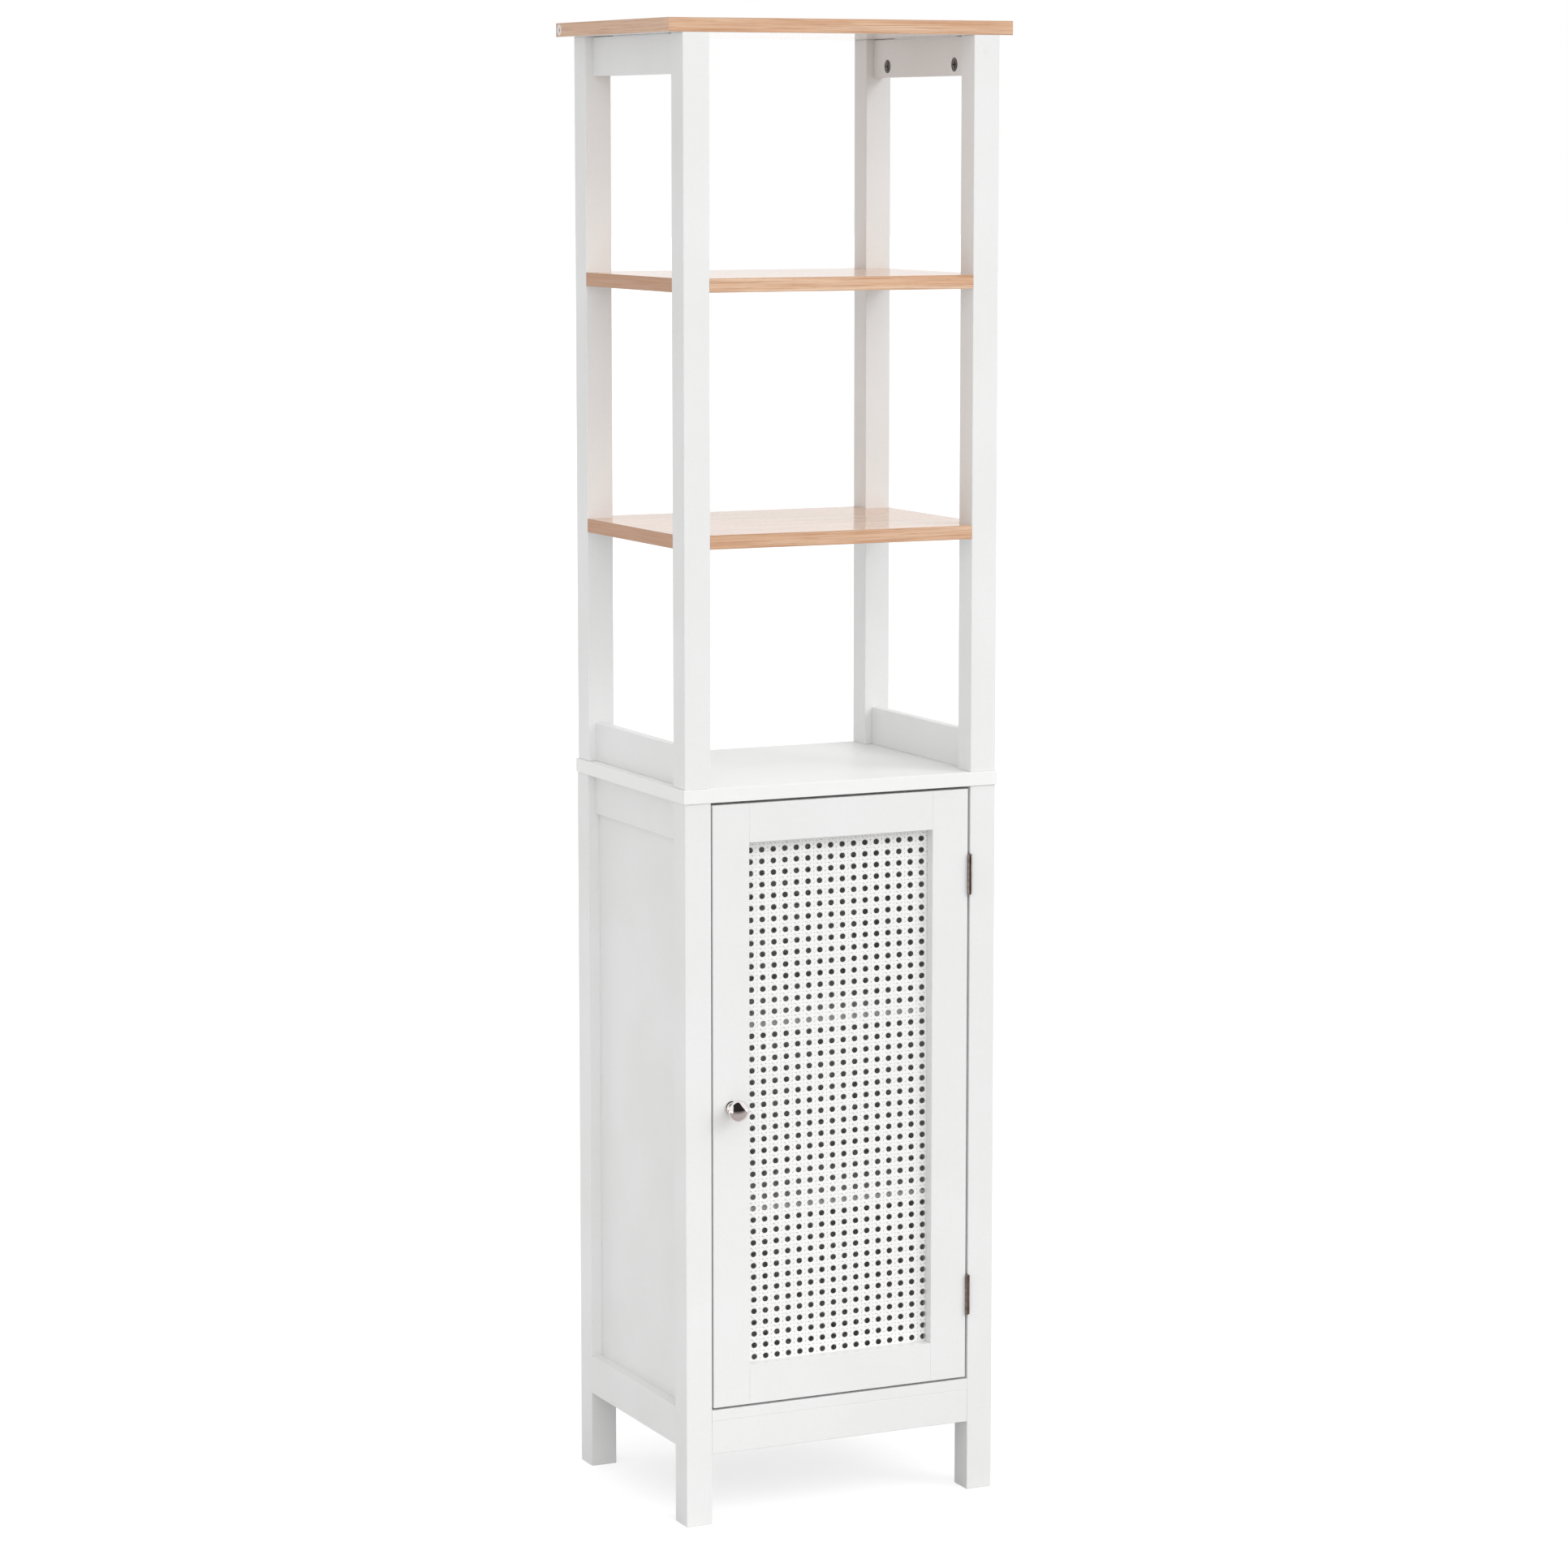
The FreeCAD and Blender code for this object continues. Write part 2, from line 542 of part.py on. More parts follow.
def make_bottom_board():
    """The cupboard's floor, on the apron and the back rail, notched round the legs."""
    width = "(body_width - 2 * side_bottom_rail_thick)"
    depth = f"(cabinet_depth - {MIDDLE} - {PANEL_HALF})"
    board = Block("bottom_board", width, depth, "bottom_board_thick", "board_arris")
    across = f"({width} - {CLEAR_WIDTH}) / 2"
    back = f"{depth} - cabinet_depth + post_side"
    board.slots("top", corner_notches(width, depth, across, "post_side", back),
                "bottom_board_thick")
    board.place(f"-{width} / 2", FRONT, BOARD_FLOOR)


def make_inner_shelf(level, floor):
    """A loose shelf on four pins, notched round the legs."""
    width = "(body_width - post_side - panel_thick - 2 * shelf_play)"
    depth = f"(cabinet_depth - inner_shelf_setback - {MIDDLE} - {PANEL_HALF} - shelf_play)"
    shelf = Block(f"inner_shelf_{level}", width, depth, "inner_shelf_thick", "board_arris")
    across = f"({width} - {CLEAR_WIDTH}) / 2 + notch_play"
    front = "post_side - inner_shelf_setback + notch_play"
    back = f"{depth} + inner_shelf_setback - cabinet_depth + post_side + notch_play"
    shelf.slots("top", corner_notches(width, depth, across, front, back), "inner_shelf_thick")
    shelf.place(f"-{width} / 2", f"{FRONT} + inner_shelf_setback", floor)


def make_shelf_pins():
    """Eight short pins, two in the inner face of each leg at each end of a shelf."""
    start = {"left": f"{LEFT} + post_side - pin_embed",
             "right": "body_width / 2 - post_side + pin_embed"}
    run = {"left": RIGHTWARD, "right": LEFTWARD}
    y = {"front": f"{FRONT} + pin_from_front", "back": f"{LEG_Y['back']} + pin_from_leg"}
    pins = [rod(f"shelf_pin_{level}_{end}_{side}", "pin_radius", "pin_length",
                start[side], y[end], f"{floor} - pin_radius", run[side])
            for level, floor in SHELF_FLOORS.items() for end in ENDS for side in SIDES]
    bunch("shelf_pins", pins)


# ---- door -----------------------------------------------------------------------------

def hinge_screw_heights():
    """Heights of the hinge screws above the door's lower edge."""
    return [f"{height} {sign} hinge_screw_spread"
            for height in HINGE_HEIGHTS.values() for sign in "-+"]


def make_stiles():
    """The door's uprights, rebated behind for the cane and drilled for what they carry."""
    dowel_heights = ["dowel_edge", "door_bottom_rail_height - dowel_edge",
                     f"{DOOR_HEIGHT} - door_top_rail_height + dowel_edge",
                     f"{DOOR_HEIGHT} - dowel_edge"]
    rebate_floor = "door_bottom_rail_height - rebate_width"
    rebate_roof = f"{DOOR_HEIGHT} - door_top_rail_height + rebate_width"
    rebate = {"left": ("stile_width - rebate_width", "stile_width"),
              "right": ("0", "rebate_width")}
    x = {"left": DOOR_LEFT, "right": f"{DOOR_LEFT} + {DOOR_WIDTH} - stile_width"}
    for side in SIDES:
        stile = Block(f"door_stile_{side}", "stile_width", "door_thick", DOOR_HEIGHT,
                      "board_arris")
        stile.slots("back", [(rebate[side][0], rebate_floor, rebate[side][1], rebate_roof)],
                    REBATE_DEPTH)
        stile.holes(INNER_SIDE[side], [("door_dowel_back", height) for height in dowel_heights],
                    DOWEL_HOLE, "dowel_in_post")
        if side == "left":
            stile.holes("front", [("stile_width / 2", f"{DOOR_HEIGHT} / 2")],
                        "knob_screw_radius + fit_play", "door_thick")
            stile.holes("back", [("stile_width / 2", f"{STRIKE_MIDDLE} - {DOOR_FLOOR}")],
                        SCREW_HOLE, "screw_in_wood")
        else:
            stile.holes("right", [("hinge_screw_back", height)
                                  for height in hinge_screw_heights()],
                        SCREW_HOLE, "screw_in_wood")
        stile.place(x[side], FRONT, DOOR_FLOOR)


def make_door_rails():
    """The door's cross pieces, rebated behind for the cane."""
    height = {"bottom": "door_bottom_rail_height", "top": "door_top_rail_height"}
    floor = {"bottom": DOOR_FLOOR,
             "top": f"{DOOR_FLOOR} + {DOOR_HEIGHT} - door_top_rail_height"}
    rebate = {"bottom": ("door_bottom_rail_height - rebate_width", "door_bottom_rail_height"),
              "top": ("0", "rebate_width")}
    for level in ("bottom", "top"):
        rail = Block(f"door_rail_{level}", OPENING_WIDTH, "door_thick", height[level],
                     "board_arris")
        rail.slots("back", [("0", rebate[level][0], OPENING_WIDTH, rebate[level][1])],
                   REBATE_DEPTH)
        for side in SIDES:
            rail.holes(side, [("door_dowel_back", "dowel_edge"),
                              ("door_dowel_back", f"{height[level]} - dowel_edge")],
                       DOWEL_HOLE, "dowel_in_rail")
        rail.place(OPENING_LEFT, FRONT, floor[level])


def make_cane():
    """The cane sheet in the rebate and the strips that hold it from behind."""
    entry = STRIP_WIDTH
    sheet_y = f"{FRONT} + cane_recess"
    cane = Block("cane_panel", f"{OPENING_WIDTH} + 2 * {entry}", "cane_thick",
                 f"{OPENING_HEIGHT} + 2 * {entry}")
    cane.place(f"{OPENING_LEFT} - {entry}", sheet_y, f"{OPENING_FLOOR} - {entry}")
    depth = f"{REBATE_DEPTH} - cane_thick"
    strip_y = f"{sheet_y} + cane_thick"
    uprights = [brick(f"cane_strip_upright_{side}", STRIP_WIDTH, depth,
                      f"{OPENING_HEIGHT} + 2 * {entry}", x, strip_y, f"{OPENING_FLOOR} - {entry}")
                for side, x in (("left", f"{OPENING_LEFT} - {entry}"),
                                ("right", f"{OPENING_LEFT} + {OPENING_WIDTH}"))]
    bunch("cane_strips_upright", uprights)
    crosses = [brick(f"cane_strip_cross_{level}", OPENING_WIDTH, depth, STRIP_WIDTH,
                     OPENING_LEFT, strip_y, z)
               for level, z in (("bottom", f"{OPENING_FLOOR} - {entry}"),
                                ("top", f"{OPENING_FLOOR} + {OPENING_HEIGHT}"))]
    bunch("cane_strips_cross", crosses)


def make_hinge_leaf(level, role):
    """A leaf: a plate with tongues that roll into its own share of the knuckle segments."""
    label = f"hinge_{level}_{role}_leaf"
    floor = f"{DOOR_FLOOR} + {HINGE_HEIGHTS[level]} - leaf_height / 2"
    plate_x = {"door": f"{HINGE_X} - gap_right / 2",
               "post": f"{HINGE_X} + gap_right / 2 - leaf_thick"}[role]
    solids = [brick(f"{label}_plate", "leaf_thick", "leaf_reach - plate_start", "leaf_height",
                    plate_x, f"{HINGE_Y} + plate_start", floor)]
    for number in {"door": DOOR_SEGMENTS, "post": POST_SEGMENTS}[role]:
        z = f"{floor} + {number} * {PITCH} + knuckle_gap / 2"
        length = f"{PITCH} - knuckle_gap"
        solids.append(rod(f"{label}_knuckle_{number}", "knuckle_radius", length,
                          HINGE_X, HINGE_Y, z))
        solids.append(brick(f"{label}_tongue_{number}", "leaf_thick",
                            "plate_start - tongue_start", length,
                            plate_x, f"{HINGE_Y} + tongue_start", z))
    tools = [rod(f"{label}_bore", "hinge_pin_radius + hinge_play", "leaf_height",
                 HINGE_X, HINGE_Y, floor)]
    face, run = {"door": (f"{HINGE_X} - gap_right / 2 + leaf_thick", LEFTWARD),
                 "post": (f"{HINGE_X} + gap_right / 2 - leaf_thick", RIGHTWARD)}[role]
    for sign in "-+":
        z = f"{DOOR_FLOOR} + {HINGE_HEIGHTS[level]} {sign} hinge_screw_spread"
        tools.append(countersink(f"{label}_sink_{len(tools)}", face,
                                 f"{FRONT} + hinge_screw_back", z, run))
    body = joined(f"{label}_metal", solids)
    keep(less(label, body, joined(f"{label}_tools", tools)), label)


def make_hinge_screws(role):
    """The four screws of one leaf of both hinges."""
    face, run = {"door": (f"{HINGE_X} - gap_right / 2 + leaf_thick", LEFTWARD),
                 "post": (f"{HINGE_X} + gap_right / 2 - leaf_thick", RIGHTWARD)}[role]
    screws = [countersunk_screw(f"hinge_{role}_screw_{number}", face,
                                f"{FRONT} + hinge_screw_back", f"{DOOR_FLOOR} + {height}", run)
              for number, height in enumerate(hinge_screw_heights())]
    bunch(f"hinge_{role}_screws", screws)


def make_hinge_pin(level):
    """A hinge pin with a domed finial at each end."""
    label = f"hinge_{level}_pin"
    middle = f"{DOOR_FLOOR} + {HINGE_HEIGHTS[level]}"
    reach = "(leaf_height / 2 + knuckle_gap / 2)"
    pin = rod(f"{label}_rod", "hinge_pin_radius", f"2 * {reach}",
              HINGE_X, HINGE_Y, f"{middle} - {reach}")
    top = dome(f"{label}_top", "knuckle_radius", "finial_height",
               HINGE_X, HINGE_Y, f"{middle} + {reach}")
    bottom = dome(f"{label}_bottom", "knuckle_radius", "finial_height",
                  HINGE_X, HINGE_Y, f"{middle} - {reach}", DOWNWARD)
    keep(joined(label, [pin, top, bottom]), label)


def make_knob():
    """A mushroom knob: disc, collar, neck, flare, rim and dome, with a hole for its screw."""
    flare = "(knob_projection - knob_dome - knob_rim - knob_flare_start)"
    rim_start = "(knob_projection - knob_dome - knob_rim)"
    solids = [
        rod("knob_disc_metal", "knob_disc_radius", "knob_disc",
            STILE_MIDDLE, FRONT, KNOB_HEIGHT, FORWARD),
        taper("knob_collar_metal", "knob_collar_radius", "knob_neck_radius", "knob_collar",
              STILE_MIDDLE, f"{FRONT} - knob_disc", KNOB_HEIGHT, FORWARD),
        rod("knob_neck_metal", "knob_neck_radius", "knob_flare_start",
            STILE_MIDDLE, FRONT, KNOB_HEIGHT, FORWARD),
        taper("knob_flare_metal", "knob_neck_radius", "knob_head_radius", flare,
              STILE_MIDDLE, f"{FRONT} - knob_flare_start", KNOB_HEIGHT, FORWARD),
        rod("knob_rim_metal", "knob_head_radius", "knob_rim",
            STILE_MIDDLE, f"{FRONT} - {rim_start}", KNOB_HEIGHT, FORWARD),
        dome("knob_dome_metal", "knob_head_radius", "knob_dome",
             STILE_MIDDLE, f"{FRONT} - {rim_start} - knob_rim", KNOB_HEIGHT, FORWARD),
    ]
    hole = rod("knob_hole", "knob_screw_radius + fit_play", "knob_hole_depth",
               STILE_MIDDLE, FRONT, KNOB_HEIGHT, FORWARD)
    keep(less("door_knob", joined("knob_metal", solids), hole), "door_knob")
    shank = rod("knob_screw_shank", "knob_screw_radius", "door_thick + knob_screw_reach",
                STILE_MIDDLE, DOOR_BACK, KNOB_HEIGHT, FORWARD)
    head = rod("knob_screw_head_metal", "knob_screw_head_radius", "knob_screw_head",
               STILE_MIDDLE, DOOR_BACK, KNOB_HEIGHT, BACKWARD)
    keep(joined("knob_screw", [shank, head]), "knob_screw")


# ---- catch ----------------------------------------------------------------------------

def make_catch():
    """A magnet in a housing under the deck, and its strike plate on the door."""
    left = f"{STILE_MIDDLE} - catch_width / 2"
    floor = "leg_length - catch_height"
    case = brick("catch_case", "catch_width", "catch_depth", "catch_height",
                 left, CATCH_FRONT, floor)
    magnet_x = f"{STILE_MIDDLE} - magnet_width / 2"
    magnet_z = f"{STRIKE_MIDDLE} - magnet_height / 2"
    seat = brick("catch_seat", "magnet_width", "magnet_sunk", "magnet_height",
                 magnet_x, CATCH_FRONT, magnet_z)
    middle = f"{CATCH_FRONT} + catch_depth / 2"
    screw_x = [f"{STILE_MIDDLE} - catch_screw_spread", f"{STILE_MIDDLE} + catch_screw_spread"]
    bores = [rod(f"catch_bore_{i}", SCREW_HOLE, "catch_height", x, middle, floor)
             for i, x in enumerate(screw_x)]
    keep(less("catch_housing", case, joined("catch_tools", [seat] + bores)), "catch_housing")
    keep(brick("catch_magnet", "magnet_width", "magnet_sunk + magnet_proud", "magnet_height",
               magnet_x, f"{CATCH_FRONT} - magnet_proud", magnet_z), "catch_magnet")
    screws = []
    for i, x in enumerate(screw_x):
        shank = rod(f"catch_screw_shank_{i}", "screw_radius",
                    "catch_height + catch_screw_in_deck", x, middle, floor)
        head = rod(f"catch_screw_head_{i}", "catch_screw_head_radius", "catch_screw_head",
                   x, middle, floor, DOWNWARD)
        screws.append(joined(f"catch_screw_{i}", [shank, head]))
    bunch("catch_screws", screws)

    plate = brick("strike_plate_metal", "strike_width", "strike_thick", "strike_height",
                  f"{STILE_MIDDLE} - strike_width / 2", DOOR_BACK,
                  f"{STRIKE_MIDDLE} - strike_height / 2")
    plate_face = f"{DOOR_BACK} + strike_thick"
    sink = countersink("strike_plate_sink", STILE_MIDDLE, plate_face, STRIKE_MIDDLE, FORWARD)
    keep(less("catch_strike_plate", plate, sink), "catch_strike_plate")
    keep(countersunk_screw("strike_screw", STILE_MIDDLE, plate_face, STRIKE_MIDDLE, FORWARD),
         "strike_screw")


# ---- hidden joinery -------------------------------------------------------------------

def make_cams():
    """Cam nuts in the top rails and the bolts that they pull down from the boards."""
    nuts = []
    bolts = []
    frames = {"rack": (TOP_FLOOR, "rack_depth"), "cabinet": ("leg_length", "cabinet_depth")}
    for frame, (board_floor, depth) in frames.items():
        for side in SIDES:
            run = {"left": RIGHTWARD, "right": LEFTWARD}[side]
            sign = {"left": "+", "right": "-"}[side]
            outer = {"left": LEFT, "right": "body_width / 2"}[side]
            start = f"{outer} {sign} ({MIDDLE} + rail_thick / 2 - cam_bore_depth)"
            slot_x = {"left": f"{start} + cam_thick - cam_slot_depth",
                      "right": f"{start} - cam_thick"}[side]
            axis_x = f"{outer} {sign} {MIDDLE}"
            z = f"{board_floor} - cam_drop"
            for end in ENDS:
                name = f"{frame}_{end}_{side}"
                y = {"front": f"{FRONT} + cam_from_end",
                     "back": f"{FRONT} + {depth} - cam_from_end"}[end]
                nut = rod(f"cam_disc_{name}", "cam_radius - fit_play", "cam_thick",
                          start, y, z, run)
                tools = joined(f"cam_tools_{name}", [
                    brick(f"cam_slot_level_{name}", "cam_slot_depth", "cam_slot_length",
                          "cam_slot_width", slot_x, f"{y} - cam_slot_length / 2",
                          f"{z} - cam_slot_width / 2"),
                    brick(f"cam_slot_upright_{name}", "cam_slot_depth", "cam_slot_width",
                          "cam_slot_length", slot_x, f"{y} - cam_slot_width / 2",
                          f"{z} - cam_slot_length / 2"),
                    rod(f"cam_throat_{name}", "cam_bolt_radius + fit_play",
                        "cam_radius + cam_throat", axis_x, y, f"{z} - cam_throat"),
                ])
                nuts.append(less(f"cam_nut_{name}", nut, tools))
                bolts.append(rod(f"cam_bolt_{name}", "cam_bolt_radius",
                                 "cam_drop + cam_bolt_in_board", axis_x, y, z))
    bunch("cam_nuts", nuts)
    bunch("cam_bolts", bolts)


def make_rail_dowels():
    """The 6 mm dowels of the frames, the rack shelves, the apron and the back rail."""
    dowels = []
    frames = {
        "rack": ("rack_depth", DECK_TOP, rack_post_dowel_heights()),
        "cabinet": ("cabinet_depth", "0", leg_dowel_heights()),
    }
    for frame, (depth, base, heights) in frames.items():
        start = {"front": f"{FRONT} + post_side - dowel_in_post",
                 "back": f"{FRONT} + {depth} - post_side - dowel_in_rail"}
        dowels += [rod(f"dowel_{frame}_{side}_{end}_{number}", "dowel_radius", DOWEL_LENGTH,
                       f"{POST_X[side]} + {MIDDLE}", start[end], f"{base} + {height}", BACKWARD)
                   for side in SIDES for end in ENDS for number, height in enumerate(heights)]
    start = {"left": f"{LEFT} + post_side - dowel_in_post",
             "right": "body_width / 2 - post_side - dowel_in_rail"}
    crossings = {
        "shelf_one": (f"{FRONT} + {MIDDLE}", f"{FRONT} + rack_depth - {MIDDLE}",
                      f"{DECK_TOP} + {rack_shelf_floor(1)} + board_thick / 2"),
        "shelf_two": (f"{FRONT} + {MIDDLE}", f"{FRONT} + rack_depth - {MIDDLE}",
                      f"{DECK_TOP} + {rack_shelf_floor(2)} + board_thick / 2"),
        "apron": (f"{FRONT} + apron_thick / 2", f"{FRONT} + cabinet_depth - {MIDDLE}",
                  "apron_floor + apron_height / 2"),
    }
    for name, (front, back, z) in crossings.items():
        dowels += [rod(f"dowel_{name}_{side}_{end}", "dowel_radius", DOWEL_LENGTH,
                       start[side], y, z, RIGHTWARD)
                   for side in SIDES for end, y in (("front", front), ("back", back))]
    bunch("frame_dowels", dowels)


def make_deck_dowels():
    """Thick dowels that tie each leg through the deck to the rack post above it."""
    length = "deck_dowel_in_leg + board_thick + deck_dowel_in_post"
    dowels = [rod(f"deck_dowel_{end}_{side}", "deck_dowel_radius", length,
                  f"{POST_X[side]} + {MIDDLE}", f"{LEG_Y[end]} + {MIDDLE}",
                  "leg_length - deck_dowel_in_leg")
              for side in SIDES for end in ENDS]
    bunch("deck_dowels", dowels)


def make_door_dowels():
    """Two dowels in each corner of the door frame."""
    start = {"left": f"{OPENING_LEFT} - dowel_in_post",
             "right": f"{OPENING_LEFT} + {OPENING_WIDTH} - dowel_in_rail"}
    heights = ["dowel_edge", "door_bottom_rail_height - dowel_edge",
               f"{DOOR_HEIGHT} - door_top_rail_height + dowel_edge",
               f"{DOOR_HEIGHT} - dowel_edge"]
    dowels = [rod(f"door_dowel_{side}_{number}", "dowel_radius", DOWEL_LENGTH, start[side],
                  f"{FRONT} + door_dowel_back", f"{DOOR_FLOOR} + {height}", RIGHTWARD)
              for side in SIDES for number, height in enumerate(heights)]
    bunch("door_dowels", dowels)


def make_covers():
    """The round cap in the top board's left end and the plug in the right front post."""
    cap = rod("edge_cap", "edge_cap_radius - fit_play", "edge_cap_depth", "-top_width / 2",
              f"{FRONT} + top_depth - edge_cap_from_back",
              f"{TOP_FLOOR} + board_thick / 2", RIGHTWARD)
    keep(cap, "edge_cap")
    plug = rod("post_hole_plug", "plug_radius - fit_play", "plug_depth + plug_proud",
               f"{POST_X['right']} + {MIDDLE}", f"{FRONT} - plug_proud",
               f"{TOP_FLOOR} - plug_drop", BACKWARD)
    keep(plug, "post_hole_plug")


# ---- build ----------------------------------------------------------------------------

make_top_board()
make_rack_shelf("lower", 1)
make_rack_shelf("upper", 2)
make_deck_board()
for side in SIDES:
    for end in ENDS:
        make_rack_post(side, end)
        make_leg(side, end)
    make_rack_rails(side)
    make_side_rails(side)
make_panels()
make_cross_rails()
make_bottom_board()
for level, floor in SHELF_FLOORS.items():
    make_inner_shelf(level, floor)
make_shelf_pins()
make_stiles()
make_door_rails()
make_cane()
for level in HINGE_HEIGHTS:
    make_hinge_leaf(level, "door")
    make_hinge_leaf(level, "post")
    make_hinge_pin(level)
make_hinge_screws("door")
make_hinge_screws("post")
make_knob()
make_catch()
make_cams()
make_rail_dowels()
make_deck_dowels()
make_door_dowels()
make_covers()
doc.recompute()

# ---- checks and files -----------------------------------------------------------------

LEAST_CUT = 1.0     # cubic millimetres that any pocket takes away

failed = [item.Label for item in doc.Objects if {"Invalid", "Error"} & set(item.State)]
if failed:
    raise RuntimeError(f"not rebuilt: {failed}")
for pocket in pockets:
    taken = pocket.BaseFeature.Shape.Volume - pocket.Shape.Volume
    if taken < LEAST_CUT:
        raise RuntimeError(f"{pocket.Label} cuts nothing")
for part in parts:
    if part.Shape.isNull() or not part.Shape.isValid() or not part.Shape.Solids:
        raise RuntimeError(f"{part.Label} has no valid solid")

os.makedirs("parts", exist_ok=True)
outline = FreeCAD.BoundBox()
for part in parts:
    part.Shape.exportStep(f"parts/{part.Label}.step")
    outline.add(part.Shape.BoundBox)
print(f"{len(parts)} parts, {outline.XLength:.1f} x {outline.YLength:.1f} x "
      f"{outline.ZLength:.1f} mm, x {outline.XMin:.2f} to {outline.XMax:.2f}, "
      f"y {outline.YMin:.2f} to {outline.YMax:.2f}, z from {outline.ZMin:.2f}")
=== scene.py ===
# %% Open the cabinet's frame
import math

import bpy
import numpy as np
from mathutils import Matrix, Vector


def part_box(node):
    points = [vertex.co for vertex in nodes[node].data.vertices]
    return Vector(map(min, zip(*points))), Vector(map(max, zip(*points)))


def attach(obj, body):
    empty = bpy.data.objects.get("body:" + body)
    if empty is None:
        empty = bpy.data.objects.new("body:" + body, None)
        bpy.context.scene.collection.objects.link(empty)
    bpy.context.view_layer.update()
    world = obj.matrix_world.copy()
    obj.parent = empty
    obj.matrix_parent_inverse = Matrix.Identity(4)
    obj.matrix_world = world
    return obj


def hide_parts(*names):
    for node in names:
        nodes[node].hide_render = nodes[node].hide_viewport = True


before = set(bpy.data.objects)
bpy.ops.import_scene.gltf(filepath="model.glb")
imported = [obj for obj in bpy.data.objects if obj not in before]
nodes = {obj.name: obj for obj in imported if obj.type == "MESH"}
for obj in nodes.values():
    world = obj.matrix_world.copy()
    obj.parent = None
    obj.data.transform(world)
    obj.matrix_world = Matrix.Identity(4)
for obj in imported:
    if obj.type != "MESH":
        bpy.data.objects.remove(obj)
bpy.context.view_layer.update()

# %% [markdown]
# # A tall bathroom cabinet
# The real cabinet is an open rack of painted posts on a small cupboard.  Everything on it
# is either white paint, a printed oak foil, white woven cane or polished nickel.
# The solids from the frame already have the right size and place, so most of them only
# need a finish.  The cane, the knob and the round cap in the top board's end are made
# again here, because their real shape is finer than the solids say.

# %% [markdown]
# ## The camera
# The picture was taken from in front of the cabinet and to its left, at about eye height.
# A camera can be put at the fitted place and turned down a little, or it can be kept
# level with its sensor moved.  The first way is used here: every other view of the
# cabinet then stays in the middle of its picture as well.

# %% Camera at the picture's viewpoint
CAMERA_PLACE = (-2.1654, -4.5731, 1.4769)
CAMERA_YAW = math.radians(25.30)        # to the right of straight ahead
CAMERA_PITCH = math.radians(-7.87)      # below the horizon
FOCAL_PIXELS = 5757.6                   # in a picture 1932 pixels wide
PICTURE_PIXELS = 1932
SENSOR_MM = 36.0

camera_data = bpy.data.cameras.new("camera")
camera_data.sensor_width = SENSOR_MM
camera_data.lens = FOCAL_PIXELS / PICTURE_PIXELS * SENSOR_MM
camera_data.clip_end = 100.0
camera = bpy.data.objects.new("camera", camera_data)
bpy.context.scene.collection.objects.link(camera)
camera.location = CAMERA_PLACE
camera.rotation_euler = (math.radians(90) + CAMERA_PITCH, 0.0, -CAMERA_YAW)
bpy.context.scene.camera = camera
bpy.context.scene.view_settings.view_transform = "Standard"
print("lens", round(camera_data.lens, 2), "mm")

# %% [markdown]
# ## How a finish is wired
# Each finish below is a small net of nodes: a texture is read at the piece's own
# coordinates, stretched or blended, and led to colour, roughness or height.  One small
# class keeps that short.  It starts a material, adds nodes and wires their inputs, and
# has a name for each step that comes back, such as mixing two colours.

# %% Helpers for finishes
class Finish:
    """A new material with its shader, and short ways to add nodes to it."""

    def __init__(self, name):
        self.material = bpy.data.materials.new(name)
        self.material.use_nodes = True
        self.tree = self.material.node_tree
        self.shader = self.tree.nodes["Principled BSDF"]
        self.place = self.add("ShaderNodeTexCoord").outputs["Object"]

    def add(self, kind, inputs=None, **settings):
        """One node: settings are its own, inputs are values or sockets to wire in."""
        node = self.tree.nodes.new(kind)
        for name, value in settings.items():
            setattr(node, name, value)
        for name, value in (inputs or {}).items():
            self.feed(node.inputs[name], value)
        return node

    def feed(self, socket, value):
        """Give a socket a plain value, or wire another node's output to it."""
        if isinstance(value, bpy.types.NodeSocket):
            self.tree.links.new(value, socket)
        else:
            socket.default_value = value

    def stretched(self, scale, place=None):
        """The piece's coordinates, multiplied along each axis."""
        vector = place if place is not None else self.place
        return self.add("ShaderNodeMapping", {"Vector": vector, "Scale": scale}).outputs[0]

    def noise(self, place, scale, detail=2.0, roughness=0.5, distortion=0.0):
        """Cloudy grey texture, about 0.3 to 0.7."""
        return self.add("ShaderNodeTexNoise", {
            "Vector": place, "Scale": scale, "Detail": detail,
            "Roughness": roughness, "Distortion": distortion}).outputs[0]

    def between(self, grey, low, high, start=0.3, end=0.7):
        """A grey texture turned into values from low to high."""
        return self.add("ShaderNodeMapRange", {
            "Value": grey, "From Min": start, "From Max": end,
            "To Min": low, "To Max": high}).outputs[0]

    def blend(self, amount, first, second, way="MIX"):
        """Two colours mixed by a grey amount."""
        node = self.add("ShaderNodeMix", data_type="RGBA", blend_type=way)
        for name, value in (("Factor_Float", amount), ("A_Color", first), ("B_Color", second)):
            self.feed(next(s for s in node.inputs if s.identifier == name), value)
        return next(s for s in node.outputs if s.identifier == "Result_Color")

    def math(self, way, *values):
        """One step of arithmetic."""
        node = self.add("ShaderNodeMath", operation=way)
        for socket, value in zip(node.inputs, values):
            self.feed(socket, value)
        return node.outputs[0]

    def relief(self, height, depth, strength=1.0):
        """Small height differences, in metres, led to the shader's normal."""
        bump = self.add("ShaderNodeBump", {
            "Height": height, "Distance": depth, "Strength": strength})
        self.feed(self.shader.inputs["Normal"], bump.outputs[0])


def colour(red, green, blue):
    """A screen colour from 0 to 255 as the linear one that a shader wants."""
    screen = np.array([red, green, blue]) / 255
    low = screen / 12.92
    high = ((screen + 0.055) / 1.055) ** 2.4
    return (*np.where(screen <= 0.04045, low, high), 1.0)


